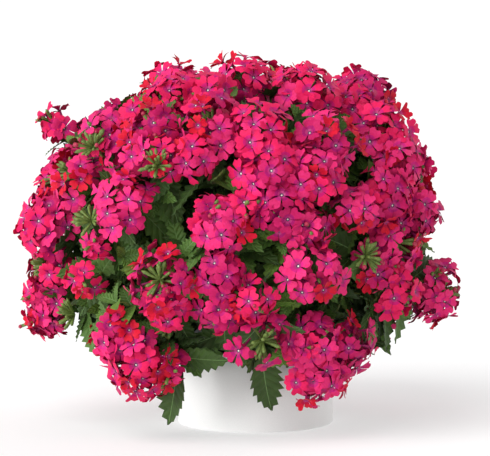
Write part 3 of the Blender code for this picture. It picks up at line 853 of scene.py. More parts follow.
def quilted(made):
    """Add the relief of side veins to a leaf material, over its fine mottle."""
    tree = made.node_tree
    shader = tree.nodes["Principled BSDF"]
    place = add_node(tree, "ShaderNodeUVMap", {"uv_map": "surface"})
    parts = add_node(tree, "ShaderNodeSeparateXYZ", None, {"Vector": place.outputs["UV"]})
    # how far a point is from the midrib, which runs up the middle of the map
    sideways = add_node(tree, "ShaderNodeMath", {"operation": "SUBTRACT", 1: 0.5},
                        {0: parts.outputs["X"]})
    edge = add_node(tree, "ShaderNodeMath", {"operation": "ABSOLUTE"}, {0: sideways.outputs[0]})
    swept = add_node(tree, "ShaderNodeMath", {"operation": "MULTIPLY_ADD", 1: -VEIN_SWEEP},
                     {0: edge.outputs[0], 2: parts.outputs["Y"]})
    # each half wave of the sine is the swelling between two veins
    wave = add_node(tree, "ShaderNodeMath", {"operation": "MULTIPLY", 1: math.pi * VEINS},
                    {0: swept.outputs[0]})
    crest = add_node(tree, "ShaderNodeMath", {"operation": "SINE"}, {0: wave.outputs[0]})
    swell = add_node(tree, "ShaderNodeMath", {"operation": "ABSOLUTE"}, {0: crest.outputs[0]})
    bump = add_node(tree, "ShaderNodeBump", {"Distance": QUILT_DEPTH},
                    {"Height": swell.outputs[0]})
    tree.links.new(bump.outputs["Normal"], shader.inputs["Normal"])
    return made


# Living leaf, finely haired: matt and soft, with a faint cool sheen and no gloss.
leaf_finishes = {}
for tone, pair in LEAF_GREENS.items():
    leaf = surface(f"downy_leaf_{tone}", pair[0], 0.58,
                   {"Sheen Weight": 0.05, "Specular IOR Level": 0.3})
    leaf_finishes[tone] = quilted(mottled(leaf, pair, 7.0))
# The midrib is pale, smooth and almost bare of hair.
midrib = mottled(surface("pale_midrib", "#5E8244", 0.5), ("#54783C", "#6A8E4C"), 3.0)
print("greens of the leaves:", list(leaf_finishes))

# %% [markdown]
# ## One floret
#
# A floret has five petals, each notched at its tip, joined in a narrow throat: a cream eye
# ringed in purple. One petal starts as a small grid. Its rows are set at growing radii and
# keep a gap to the next petal that widens outwards. The tip's two edges are subdivided once:
# the new points go out as lobes and the middle comes in as a notch, which makes the petal
# heart shaped. It is copied round the throat. The throat is a ten sided circle, inset once
# for the eye. Below it hangs a slender tube.

# %% Floret shapes
FLORET_RADIUS = 9.8 * MM
PETALS = 5
# a petal's rows: distance from the floret's middle, and half its angle in degrees
PETAL_ROWS = ((0.14, 36), (0.27, 32.5), (0.47, 31.5), (0.84, 31), (0.97, 21.5))
PETAL_LOBE = (1.03, 12)
PETAL_NOTCH = 0.88
THROAT_DEPTH = 1.3 * MM
PETAL_HEIGHTS = (-1.3, -0.5, 0.0, 0.1, -0.5)
# the ranges of chance: a petal's hinge in degrees, its roll, its ruffle in mm and its breadth
PETAL_HINGES = (-13, 13)
PETAL_ROLLS = (-0.2, 0.2)
PETAL_RUFFLES = (-0.5, 1.2)
PETAL_BREADTHS = (0.9, 1.08)
# how far from the floret's middle its halo and the base of its petals reach
HALO_REACH = 0.26
BASE_REACH = 0.42
EYE_INSET = 0.075
EYE_DEPTH = 0.3 * MM
TUBE_LENGTH = 8 * MM
TUBE_RADIUS = 0.7 * MM
TUBE_GAP = 0.2 * MM
# how far the petals of open florets and of those just opening are lifted, in degrees
OPEN_LIFTS = (-9, 11)
FRESH_LIFTS = (14, 26)
OPEN_VARIANTS = 10
FRESH_VARIANTS = 3
PETAL, BASE, HALO, THROAT, EYE = range(5)


def petal(bm, turn, hinge, roll_angle, ruffle, breadth):
    """One petal at a turn round the floret: hinged up or down, rolled and ruffled a little."""
    first = len(bm.verts)
    last = len(PETAL_ROWS) - 1
    bmesh.ops.create_grid(bm, x_segments=2, y_segments=last, size=1)
    tip = [edge for edge in bm.edges if min(vert.co.y for vert in edge.verts) > 0.99]
    bmesh.ops.subdivide_edges(bm, edges=tip, cuts=1)
    added = bm.verts[:][first:]
    # columns stand at -1, 0 and 1, and the tip's new points half way between them
    for vert in added:
        column = vert.co.x
        row = round((vert.co.y + 1) / 2 * last)
        radius, half = PETAL_ROWS[row]
        angle = math.radians(half) * column
        if row == last and abs(column) < 0.9:
            radius = PETAL_NOTCH if abs(column) < 0.1 else PETAL_LOBE[0]
            angle = math.radians(PETAL_LOBE[1]) * 2 * column
        height = PETAL_HEIGHTS[row] * MM
        if row > 0:
            angle *= breadth
            away = radius - PETAL_ROWS[0][0]
            height += away * FLORET_RADIUS * math.tan(hinge)
            height += column * radius * FLORET_RADIUS * roll_angle
            height += abs(column) * ruffle * radius
        vert.co = Vector((radius * math.sin(angle), radius * math.cos(angle), 0)) * FLORET_RADIUS
        vert.co.z = height
    bmesh.ops.rotate(bm, verts=added, cent=(0, 0, 0), matrix=Matrix.Rotation(turn, 3, "Z"))


def five_sided(bm, low_radius, high_radius, foot, length):
    """An upright five sided cone without caps, from a foot height; gives back its points."""
    place = Matrix.Translation((0, 0, foot + length / 2))
    return bmesh.ops.create_cone(bm, cap_ends=False, segments=PETALS, radius1=low_radius,
                                 radius2=high_radius, depth=length, matrix=place)["verts"]


def finished(points, finish):
    """Give every face at some points one of the piece's finishes."""
    for point in points:
        for face in point.link_faces:
            face.material_index = finish


def floret_shape(rng, lift):
    """A floret facing +Z, its throat at the origin; its petals are lifted by some degrees."""
    bm = bmesh.new()
    for i in range(PETALS):
        hinge = math.radians(lift + rng.uniform(*PETAL_HINGES))
        petal(bm, math.tau * i / PETALS, hinge, rng.uniform(*PETAL_ROLLS),
              rng.uniform(*PETAL_RUFFLES) * MM, rng.uniform(*PETAL_BREADTHS))
    for face in bm.faces:
        reach = Vector(face.calc_center_median()[:2]).length / FLORET_RADIUS
        face.material_index = HALO if reach < HALO_REACH else BASE if reach < BASE_REACH else PETAL
    base = PETAL_ROWS[0][0] * FLORET_RADIUS
    middle = bmesh.ops.create_circle(bm, cap_ends=True, segments=2 * PETALS, radius=base,
                                     matrix=Matrix.Translation((0, 0, -THROAT_DEPTH)))
    disc = middle["verts"][0].link_faces[0]
    ring = bmesh.ops.inset_individual(bm, faces=[disc], thickness=EYE_INSET * FLORET_RADIUS,
                                      depth=-EYE_DEPTH, use_even_offset=True)
    for face in ring["faces"]:
        face.material_index = THROAT
    disc.material_index = EYE
    bmesh.ops.remove_doubles(bm, verts=bm.verts, dist=SAME_PLACE)
    bmesh.ops.recalc_face_normals(bm, faces=bm.faces)
    if sum(face.normal.z for face in bm.faces) < 0:
        bmesh.ops.reverse_faces(bm, faces=bm.faces)
    foot = -THROAT_DEPTH - TUBE_GAP - TUBE_LENGTH
    finished(five_sided(bm, TUBE_RADIUS, base, foot, TUBE_LENGTH), HALO)
    return shape_of(bm)


rng = dice("floret shapes")
open_shapes = [floret_shape(rng, rng.uniform(*OPEN_LIFTS)) for _ in range(OPEN_VARIANTS)]
fresh_shapes = [floret_shape(rng, rng.uniform(*FRESH_LIFTS)) for _ in range(FRESH_VARIANTS)]
print("faces of a floret:", len(open_shapes[0].counts))

# %% [markdown]
# ## Petal surface
#
# A petal is soft and velvety: tiny cone shaped cells scatter the light, so it glows without
# gloss. A sheen and a very fine grain give that. Newly opened florets are red and turn hot
# pink as they age. Each floret gets one of four plain colours, with a base a little nearer
# to the violet of its throat. One of them, a darker magenta, is painted shade: the colour of
# florets in shade, dealt out by chance.

# %% Petal materials
# each tone: two colours of the blade, and two of its base, which runs towards violet
PETAL_COLOURS = {
    "hot_pink": (("#D82464", "#DE3076"), ("#C01C72", "#CA247C")),
    "rose": (("#D41650", "#DC205E"), ("#BA1266", "#C41A6E")),
    # the darker magenta is painted shade: the pink as it looks on florets in shade
    "shade_magenta": (("#B21252", "#BE1C60"), ("#980E5E", "#A61668")),
    "fresh_red": (("#BA0A26", "#CC1434"), ("#A80A36", "#B81240")),
}


def velvety(name, pair):
    """Velvety petal: matt and saturated, a little paler at grazing angles."""
    velvet = surface(name, pair[0], 0.55, {"Sheen Weight": 0.04, "Sheen Roughness": 0.4,
                                           "Specular IOR Level": 0.12})
    return mottled(velvet, pair, 1.4, relief=0.10)


petal_finishes = {tone: [velvety(f"velvet_petal_{tone}", blade),
                         velvety(f"velvet_petal_base_{tone}", foot)]
                  for tone, (blade, foot) in PETAL_COLOURS.items()}
# Round the throat the colour runs to purple; the throat itself is dark, its eye waxy cream.
halo = mottled(surface("purple_halo", "#A81868", 0.55), ("#981670", "#B81C62"), 1.0)
throat = mottled(surface("dark_throat", "#4A1048", 0.5), ("#3A0C40", "#5A1650"), 0.8)
eye = mottled(surface("waxy_eye", "#D2CABC", 0.4), ("#C4BCAA", "#DED8CA"), 0.6)
print("tones of the petals:", list(petal_finishes))

# %% [markdown]
# ## Calyces and buds
#
# Each floret sits in a slim green calyx. Where florets haven't opened yet, or have dropped,
# the calyces show as a green star in the middle of the head. A calyx is a five sided cone
# that widens upwards and closes in a short point; a bud adds a small coloured knob.

# %% Calyx shapes
CALYX_LENGTH = 11 * MM
CALYX_RADIUS = 1.3 * MM
CALYX_FOOT = 0.65 * MM
CALYX_TIP = 2.2 * MM
BUD_RADIUS = 1.25 * CALYX_RADIUS
BUD_RISE = 0.6


def calyx_shape(bud):
    """A calyx along +Z from the origin, closed, or with a bud in it."""
    bm = bmesh.new()
    five_sided(bm, CALYX_FOOT, CALYX_RADIUS, 0, CALYX_LENGTH)
    five_sided(bm, CALYX_RADIUS, 0, CALYX_LENGTH, CALYX_TIP)
    bmesh.ops.remove_doubles(bm, verts=bm.verts, dist=SAME_PLACE)
    if bud:
        place = Matrix.Translation((0, 0, CALYX_LENGTH + CALYX_TIP * BUD_RISE))
        knob = bmesh.ops.create_icosphere(bm, subdivisions=1, radius=BUD_RADIUS, matrix=place)
        finished(knob["verts"], 1)
    bmesh.ops.recalc_face_normals(bm, faces=bm.faces)
    return shape_of(bm)


plain_calyx = calyx_shape(False)
bud_calyx = calyx_shape(True)
# Downy calyx: yellow green, hairy and matt. The bud is a tightly furled dark red petal.
calyx_green = mottled(surface("downy_calyx", "#62762E", 0.6), ("#4A6028", "#74883C"), 2.0)
bud_red = mottled(surface("furled_bud", "#9C1838", 0.5), ("#8A1432", "#B42448"), 1.0)
print("faces of a calyx:", len(plain_calyx.counts), "and with a bud:", len(bud_calyx.counts))

# %% [markdown]
# ## Finer flower heads
#
# Between the main heads sit smaller ones on finer shoots, heads that have dropped their
# florets, and a few florets alone. Each gets a row with its place, as in the table of the main
# heads, and its kind. A second table says which of the main heads aren't full domes.

# %% Kinds and places of the finer heads
SIDE_HEADS = {
    "top_left": ((225, 256, 8, "full"), (230, 236, 10, "small"), (243, 222, 0, "small")),
    "top_front": ((257, 247, 4, "small"),),
    "top_right": ((356, 212, 20, "small"), (325, 243, 4, "small")),
    "left_upper": ((180, 240, 24, "small"), (237, 210, 2, "full"), (226, 203, -9, "spent"),
                   (248, 193, -12, "spent")),
    "left": ((226, 155, -6, "spent"), (200, 196, 6, "small")),
    "left_side": ((198, 150, 5, "small"),),
    "left_low": ((202, 80, 8, "spent"), (188, 76, -18, "lone"), (190, 96, -12, "lone")),
    "heart": ((291, 194, 0, "full"), (258, 204, 0, "small")),
    "front_left": ((249, 98, 0, "small"),),
    "front": ((264, 94, 5, "small"), (271, 168, 1, "lone"), (262, 166, 1, "lone")),
    "right": ((316, 174, 0, "full"), (348, 176, 20, "full")),
    "right_low": ((350, 138, 28, "full"), (307, 132, -2, "spent")),
    "right_tip": ((354, 108, 24, "small"), (339, 107, -6, "spent")),
    "hem_left": ((229, 68, 0, "full"), (245, 82, 22, "spent"), (246, 50, -8, "lone")),
    "hem_right": ((307, 62, -2, "full"), (295, 70, 0, "small"), (315, 44, -2, "small"),
                  (289, 66, -4, "lone")),
    "back_middle": ((74, 118, 0, "full"), (106, 120, 0, "full")),
    "back_left": ((180, 164, 10, "full"),),
    "back_upper_left": ((181, 218, -4, "lone"),),
}
# the main heads that aren't full domes: shoot and number, by kind
MAIN_KINDS = {
    "large": (("hem_left", 0), ("hem_right", 0)),
    "middling": (("front", 0), ("front", 1)),
    "small": (("left_upper", 0), ("left_upper", 1), ("heart", 2), ("front", 2),
              ("right", 1), ("right_low", 1), ("right_tip", 1), ("back_top_left", 1),
              ("back_top_left", 2), ("back_top_left", 3)),
    "lone": (("left_side", 1), ("left_low", 2)),
    "budding": (("hem_front", 0),),
    "young": (("left", 0), ("left_low", 0), ("front_left", 0), ("right_low", 0),
              ("right_tip", 0), ("back_top_left", 0), ("back_right", 1),
              ("back_middle", 1), ("back_upper_right", 1), ("back_low_left", 0),
              ("back_upper_left", 2)),
}
kind_by_head = {head: kind for kind, heads in MAIN_KINDS.items() for head in heads}
print("finer heads:", sum(len(rows) for rows in SIDE_HEADS.values()))

# %% [markdown]
# ## Growing the masses
#
# Now every shoot grows on from the end of its bough by the same rule as the solids: a stem to
# the fork, and a twig to each head. Here the rule is carried further. Pairs of leaves sit at
# the knots, each pair square to the one before. Short side shoots fill the crown's depth, and
# each ends in a tuft of four young leaves. A leaf that would reach out of the crown or into a
# pot is left out.

# %% Twigs, leaves and side shoots
STEM_THICK = 1.4 * MM
TWIG_THICK = 1.2 * MM
TWIG_THIN = 0.85 * MM
TWIG_LEAVE = 0.35
TWIG_ARRIVE = 0.45
POT_MARGIN = 5 * MM
# the ranges of a leaf's length, its turn round the stem, and its lean forward and down
LEAF_LENGTHS = (30 * MM, 42 * MM)
LEAF_TURNS = (-0.35, 0.35)
LEAF_FORWARDS = (0.2, 0.7)
LEAF_SAGS = (0, 0.35)
LEAF_FACES_UP = 0.6
# a side shoot: how much it heads along its stem, outwards, up, and by chance
SHOOT_ALONG = 0.5
SHOOT_OUTWARD = 0.5
SHOOT_UP = 0.3
SHOOT_CHANCE = 0.9
SHOOT_LENGTHS = (24 * MM, 46 * MM)
SHOOT_LEAVE = 0.2
SHOOT_ARRIVE = 0.3
SHOOT_BOW = 0.15
SHOOT_POINTS = 6
SHOOT_TAPER = 0.6
SHOOT_LEAF_LENGTHS = (20 * MM, 34 * MM)
SHOOT_MARGIN = 16 * MM
TOP_LEAVES = 4
TOP_LEAF_LENGTHS = (16 * MM, 26 * MM)
TOP_LEAF_SHORTER = 0.75
TOP_LEAF_RISE = 0.8
TOP_LEAF_FACES_UP = 0.4
# at how many points each limb and twig is measured, and at which of them it has side shoots
STEM_POINTS = 8
LIMB_POINTS = 18
LIMB_SHOOTS = range(4, LIMB_POINTS, 3)
LIMB_LEAVES_FROM = 0.30
TWIG_POINTS = 14
TWIG_SHOOTS = (5, 9)
TWIG_BARE_POINTS = 3
# how much of the way to its first knot each stem has behind it where it starts
TWIG_KNOT_START = 0.4
SHOOT_KNOT_START = 0.5
# leaves at the crown's surface are of all greens, and the deeper they sit the more get the
# dark green: painted shade for the depth of the crown
OUTER_GREENS = ("mid", "mid", "bright", "grey", "deep", "deep")
PAINTED_SHADE_WITH_DEPTH = 1.4

twig_copies = []
leaf_copies = defaultdict(list)


def from_middle(point):
    """Horizontal distance of a point from the crown's middle."""
    return math.hypot(point.x - CROWN_MIDDLE.x, point.y)


def in_crown(point, margin):
    """Whether a point lies inside the crown's surface and clear of both pots."""
    if from_middle(point) > crown_reach(point.z) - margin:
        return False
    from_axis = math.hypot(point.x, point.y)
    in_cover = point.z < POT_HEIGHT + POT_MARGIN and from_axis < POT_RADIUS + POT_MARGIN
    in_nursery = point.z < NURSERY_RIM_Z + POT_MARGIN and from_axis < NURSERY_RIM_RADIUS + POT_MARGIN
    return not in_cover and not in_nursery


def put_leaf(root, out, top, length, tone, rng, shapes=leaf_shapes):
    """Place a leaf by its root, its direction and the side that faces up."""
    side = out.cross(top).normalized()
    top = side.cross(out).normalized()
    axes = Matrix((side, out, top)).transposed().to_4x4()
    place = Matrix.Translation(root) @ axes @ Matrix.Scale(length, 4)
    leaf_copies[tone].append((rng.choice(shapes), place))


def green_with_painted_shade(point, rng):
    """The green of a leaf by chance, and the dark green as painted shade the deeper it sits in the
    crown.
    """
    inner = 1 - from_middle(point) / CROWN_RADIUS
    return "deep" if rng.random() < inner * PAINTED_SHADE_WITH_DEPTH else rng.choice(OUTER_GREENS)


def leaf_pairs(points, lengths, rng, knot_start=0.0):
    """Pairs of leaves at the knots along a stem's points, each pair square to the last."""
    quarter = rng.uniform(0, math.pi)
    walked = KNOT_SPACING * knot_start
    for near, far in zip(points, points[1:]):
        step = (far - near).length
        knot = (walked + step) // KNOT_SPACING > walked // KNOT_SPACING
        walked += step
        if not knot:
            continue
        along = (far - near).normalized()
        quarter += math.pi / 2
        basis = along.to_track_quat("Z", "Y").to_matrix()
        for half in (0, math.pi):
            angle = quarter + half + rng.uniform(*LEAF_TURNS)
            sideways = basis @ polar(angle, 1, 0)
            forward = along * rng.uniform(*LEAF_FORWARDS)
            sag = UP * rng.uniform(*LEAF_SAGS)
            out = (sideways + forward - sag).normalized()
            length = rng.uniform(*lengths)
            tip = far + out * length
            if in_crown(tip, 0):
                top = along + UP * LEAF_FACES_UP
                put_leaf(far, out, top, length, green_with_painted_shade(tip, rng), rng)


def side_shoot(line, number, rng):
    """A short leafy shoot from a numbered point of a line, if the crown has room for it."""
    root = line[number]
    along = (root - line[number - 1]).normalized()
    outward = Vector((root.x - CROWN_MIDDLE.x, root.y, 0)).normalized()
    heading = (along * SHOOT_ALONG + outward * SHOOT_OUTWARD + UP * SHOOT_UP
               + chance_way(rng, 1) * SHOOT_CHANCE).normalized()
    length = rng.uniform(*SHOOT_LENGTHS)
    tip = root + heading * length
    if not in_crown(tip, SHOOT_MARGIN):
        return
    leave = root + (along + heading) * length * SHOOT_LEAVE
    arrive = tip - heading * length * SHOOT_ARRIVE + UP * length * SHOOT_BOW
    points = curve_points((root, leave, arrive, tip), 0, 1, SHOOT_POINTS)
    twig_copies.append(stem_copy(points, TWIG_THIN, TWIG_THIN * SHOOT_TAPER))
    leaf_pairs(points, SHOOT_LEAF_LENGTHS, rng, SHOOT_KNOT_START)
    top_leaves(tip, heading, rng)


def top_leaves(tip, heading, rng):
    """The young leaves that end a leafy shoot: in turn a long one and a short one."""
    basis = heading.to_track_quat("Z", "Y").to_matrix()
    start = rng.uniform(0, math.tau)
    for i in range(TOP_LEAVES):
        angle = start + math.tau / TOP_LEAVES * i
        out = (basis @ polar(angle, 1, TOP_LEAF_RISE)).normalized()
        length = rng.uniform(*TOP_LEAF_LENGTHS) * (1 if i % 2 else TOP_LEAF_SHORTER)
        if in_crown(tip + out * length, 0):
            top = heading + UP * TOP_LEAF_FACES_UP
            put_leaf(tip, out, top, length, rng.choice(("mid", "bright")), rng)


# %% [markdown]
# ## Heads for bare places
#
# The table gives few heads at the back and on top. What would be bare there is filled by rule:
# of all places on a grid of bearings and heights, the one that is farthest from any head
# gets a head of its own, and so on until every place has a head nearby.

# %% Fill the back and the top
# how far a place may be from its next head, and how many mm deeper the new heads lie
BARE_SPACING = 36 * MM
BARE_DEEPER = 23
BARE_BEARINGS = range(0, 360, 5)
BARE_HEIGHTS = (*range(56, 252, 6), 255, 257, 258.4, 258.9)
BACK_STARTS_Y = 20 * MM
TOP_HEIGHT = 250
TOP_STARTS_Y = -45 * MM


def bare_places():
    """Every place at the back and on top where a finer head could sit, with its hub."""
    rng = dice("bare places")
    places = []
    for height in BARE_HEIGHTS:
        for bearing in BARE_BEARINGS:
            hub, axis = heads_at([(bearing, height, BARE_DEEPER)], rng)[0]
            if hub.y > (TOP_STARTS_Y if height > TOP_HEIGHT else BACK_STARTS_Y):
                places.append((hub, axis))
    return places


def filling_heads(hubs):
    """Fill the widest bare place again and again; gives each head to the nearest shoot."""
    places = bare_places()
    free = np.array([hub for hub, _ in places])
    taken = np.array([hub for _, hub in hubs])
    gaps = np.linalg.norm(free[:, None] - taken[None], axis=2).min(axis=1)
    filled = defaultdict(list)
    while gaps.max() > BARE_SPACING:
        hub, axis = places[int(gaps.argmax())]
        name = min(hubs, key=lambda other: (other[1] - hub).length)[0]
        filled[name].append((hub, axis))
        gaps = np.minimum(gaps, np.linalg.norm(free - np.array(hub), axis=1))
    return filled


main_hubs = [(name, hub) for name in SHOOTS for hub, _ in flower_heads(name)]
filling = filling_heads(main_hubs)
print("heads that fill bare places:", sum(len(heads) for heads in filling.values()))

# %% [markdown]
# ## Growing every shoot
#
# Each shoot has its own source of chance, so a change to one leaves the others as they are. The
# points of its twigs are kept, because the hanging leaves grow from them later on.

# %% Grow every shoot
grown_heads = []
twig_lines = defaultdict(list)
for name, way in ways.items():
    rng = dice(f"growth {name}")
    fork = bezier(way, FORK_SHARE)
    stem = curve_points(way, BOUGH_SHARE, FORK_SHARE, STEM_POINTS)
    twig_copies.append(stem_copy(stem, STEM_THICK, TWIG_THICK))
    limb = curve_points(way, LIMB_LEAVES_FROM, FORK_SHARE, LIMB_POINTS)
    leaf_pairs(limb, LEAF_LENGTHS, rng)
    for number in LIMB_SHOOTS:
        side_shoot(limb, number, rng)
    side = SIDE_HEADS.get(name, ())
    heads = flower_heads(name) + heads_at([row[:3] for row in side], rng) + filling[name]
    kinds = [kind_by_head.get((name, i), "full") for i in range(len(SHOOTS[name]))]
    kinds += [row[3] for row in side] + ["full"] * len(filling[name])
    ahead = (stem[-1] - stem[-2]).normalized()
    for index, ((hub, axis), kind) in enumerate(zip(heads, kinds)):
        length = (hub - fork).length
        leave = fork + ahead * length * TWIG_LEAVE
        arrive = hub - axis * length * TWIG_ARRIVE
        points = curve_points((fork, leave, arrive, hub), 0, 1, TWIG_POINTS)
        twig_copies.append(stem_copy(points, TWIG_THICK, TWIG_THIN))
        twig_lines[name].append(points)
        leaf_pairs(points[:-TWIG_BARE_POINTS], LEAF_LENGTHS, rng, TWIG_KNOT_START)
        for number in TWIG_SHOOTS:
            side_shoot(points, number, rng)
        grown_heads.append((name, index, hub, axis, kind))
print("flower heads:", len(grown_heads), "twigs:", len(twig_copies))

# %% [markdown]
# ## Leaves that hang below the crown
#
# The lowest leaves hang over the pot's rim. The largest of them are placed one by one: each
# grows on a stalk from the nearest twig of its shoot. Between them a skirt of smaller ones
# goes all the way round and hides the nursery pot's lip.

# %% Hanging leaves
# shoot, bearing in degrees, distance from the crown's middle and height of the tip in mm
HANGING_LEAVES = (
    ("hem_left", 239, 92, 8), ("hem_left", 253, 90, 43), ("hem_front", 283, 84, 19),
    ("hem_front", 268, 88, 52), ("hem_right", 318, 104, 64), ("left_low", 206, 112, 57),
    ("right_tip", 330, 112, 64), ("right_tip", 344, 128, 78), ("right_tip", 337, 120, 62),
    ("right_tip", 333, 117, 57), ("front_right", 305, 122, 98), ("back_low_right", 10, 100, 58),
    ("back_low_right", 50, 88, 30), ("back_middle", 84, 90, 34), ("back_low_left", 112, 92, 44),
    ("back_low_left", 160, 104, 48),
)
HANGING_LENGTH = 47 * MM
# smaller ones between them: bearing, distance and height of the tip
FRINGE_LEAVES = (
    (199, 122, 63), (210, 118, 55), (217, 116, 60), (231, 58, 50), (239, 60, 45),
    (251, 62, 47), (260, 63, 49), (271, 65, 47), (296, 72, 50), (310, 76, 54),
)
FRINGE_LENGTH = 43 * MM
HANGING_FACES_UP = 0.3
# hanging leaves below the crown get only the mid and the dark deep green: painted shade under the
# crown
HANGING_SHADE_GREENS = ("mid", "deep")
# the skirt: leaves all the way round, each somewhere in these ranges, and a little way out of
# the crown at most
SKIRT_LEAVES = 76
SKIRT_DISTANCES = (74 * MM, 104 * MM)
SKIRT_HEIGHTS = (48 * MM, 80 * MM)
SKIRT_LENGTHS = (30 * MM, 42 * MM)
SKIRT_OUTSIDE = 20 * MM
SKIRT_GREENS = ("deep", "mid", "mid", "bright")
# how far above its tip a leaf looks for a twig, as a share of its length, and its stalk
HANGS_FROM = 0.7
STALK_POINTS = 3
LONGEST_STALK = 52 * MM
# short shoots that trail over the rim: where their tips hang, how they bow, and how they end
TRAILING_SHOOTS = 26
TRAILING_DISTANCES = (70 * MM, 92 * MM)
TRAILING_HEIGHTS = (64 * MM, 84 * MM)
TRAILING_BOW_AT = 0.4
TRAILING_BOW = 0.25
TRAILING_DROP = 12 * MM
TRAILING_TAPER = 0.7
TRAILING_POINTS = 8
TRAILING_KNOT_START = 0.6
TRAILING_OUTWARD = 0.6


def nearest(lines, spot):
    """The point of some twigs that is nearest to a spot."""
    return min((point for line in lines for point in line[1:-1]),
               key=lambda point: (point - spot).length)


def hanging_leaf(lines, tip, length, tone, rng, longest):
    """A leaf that hangs to a given tip, on a stalk from the twig that is nearest above it."""
    foot = nearest(lines, tip + UP * length * HANGS_FROM)
    away = tip - foot
    stalk = away.length - length
    if stalk > longest:
        return
    length = min(length, away.length)
    root = tip - away.normalized() * length
    if stalk > TWIG_THICK:
        points = [foot.lerp(root, i / STALK_POINTS) for i in range(STALK_POINTS + 1)]
        twig_copies.append(stem_copy(points, TWIG_THIN, TWIG_THIN))
    outward = Vector((tip.x - CROWN_MIDDLE.x, tip.y, 0)).normalized()
    top = outward + UP * HANGING_FACES_UP
    put_leaf(root, away.normalized(), top, length, tone, rng, hanging_shapes)


def trailing_shoot(lines, tip, rng):
    """A short shoot that trails down to a tip over the pot's rim, with leaves in pairs."""
    foot = nearest(lines, tip)
    outward = Vector((tip.x, tip.y, 0)).normalized()
    bow = foot.lerp(tip, TRAILING_BOW_AT) + (outward + UP) * (tip - foot).length * TRAILING_BOW
    drop = tip + UP * TRAILING_DROP
    points = curve_points((foot, bow, drop, tip), 0, 1, TRAILING_POINTS)
    twig_copies.append(stem_copy(points, TWIG_THIN, TWIG_THIN * TRAILING_TAPER))
    leaf_pairs(points, SKIRT_LENGTHS, rng, TRAILING_KNOT_START)
    top_leaves(tip, (outward * TRAILING_OUTWARD - UP).normalized(), rng)


rng = dice("hanging leaves")
for name, bearing, distance, height in HANGING_LEAVES:
    tip = round_crown(bearing, distance * MM, height * MM)
    tone = rng.choice(HANGING_SHADE_GREENS)
    hanging_leaf(twig_lines[name], tip, HANGING_LENGTH, tone, rng, CROWN_RADIUS)
all_lines = [line for lines in twig_lines.values() for line in lines]
for bearing, distance, height in FRINGE_LEAVES:
    tip = round_crown(bearing, distance * MM, height * MM)
    hanging_leaf(all_lines, tip, FRINGE_LENGTH, rng.choice(HANGING_SHADE_GREENS), rng, CROWN_RADIUS)
for i in range(SKIRT_LEAVES):
    tip = round_crown(360 * (i + rng.random()) / SKIRT_LEAVES, rng.uniform(*SKIRT_DISTANCES),
                      rng.uniform(*SKIRT_HEIGHTS))
    if in_crown(tip, -SKIRT_OUTSIDE):
        tone = rng.choice(SKIRT_GREENS)
        hanging_leaf(all_lines, tip, rng.uniform(*SKIRT_LENGTHS), tone, rng, LONGEST_STALK)
for i in range(TRAILING_SHOOTS):
    bearing = 360 * (i + rng.random()) / TRAILING_SHOOTS
    tip = round_crown(bearing, rng.uniform(*TRAILING_DISTANCES), rng.uniform(*TRAILING_HEIGHTS))
    if in_crown(tip, 0):
        trailing_shoot(all_lines, tip, rng)
print("leaves:", {tone: len(copies) for tone, copies in leaf_copies.items()})

# %% [markdown]
# ## Flower heads
#
# A head opens from its rim inwards. Most heads here are full domes: one floret in the middle,
# a ring of four, and a ring of eight. Some are younger: their middle is still a green star of
# calyces, with a few red florets just opened beside it. Spent ones have dropped every floret
# and are a bare green star. The two heads at the hem are the largest, and small heads of a
# few florets sit on the finer shoots.
#
# Every floret's stalk starts on the head's short axis, and the lower ones start lower down.
# No two florets face quite the same way, which leaves dark gaps between them, and in the gaps
# an inner ring of florets shows from the depth. Flowers grow towards the light, so the high
# heads on the window's side turn some way to it.

# %% Kinds of flower head
# the head's short axis, and how far below its middle the lowest florets start on it
SPIKE = 9 * MM
SPIKE_FOOT = 0.4
# how much florets turn from the dome to the axis and by chance, and how uneven the dome is
OUTWARD = 0.26
DISORDER = 0.32
UNEVEN = 3.2 * MM
# the inner ring's dome as a share of the outer one, and the sizes of florets
INNER_DOME = 0.66
FLORET_SIZES = (0.88, 1.06)
FRESH_SIZE = 0.82
# how far florets stray from their even places: a share of a step round, and degrees of lean
ROUND_STRAY = 0.2
RING_STRAY = 8
INNER_STRAY = 14
# calyces: how much of its stalk each covers, so that its tip stays below the floret. For the
# green star: where it starts on the spike, how many degrees it spreads, the range of its
# calyces' sizes, and the share of them with a bud
CALYX_SHARE = 0.72
STAR_FOOT = 0.5
STAR_SPREAD = 70
STAR_SIZES = (0.85, 1.15)
BUD_SHARE = 0.25
# the turn to the light: its strength, and from where to where it grows to its full strength
LIGHT_TURN = 0.55
TURN_HEIGHTS = (180 * MM, 230 * MM)
TURN_SIDES_Y = (30 * MM, -20 * MM)
# kinds of head: radius of the dome in mm, its rings (degrees from the axis, florets), the
# inner ring's lean and florets, and the calyces in the middle
HEAD_KINDS = {
    "full": (20.5, ((8, 1), (40, 4), (70, 8)), (56, 6), 4),
    "young": (20.5, ((58, 5), (80, 8)), (86, 4), 15),
    "budding": (19.0, ((66, 5),), (88, 3), 18),
    "middling": (15.5, ((6, 1), (44, 5), (80, 6)), (0, 0), 3),
    "large": (22.0, ((0, 1), (32, 5), (60, 8), (82, 7)), (64, 8), 5),
    "small": (14.0, ((5, 1), (52, 5), (88, 5)), (0, 0), 3),
    "lone": (10.0, ((10, 1), (58, 3), (95, 2)), (0, 0), 3),
    "spent": (0.0, (), (0, 0), 22),
}
# fresh red florets are one in nine, and about twice as many in the middle of a young head
FRESH_SHARE = 0.11
YOUNG_FRESH_SHARE = 2.2 * FRESH_SHARE
YOUNG_MIDDLE = 70
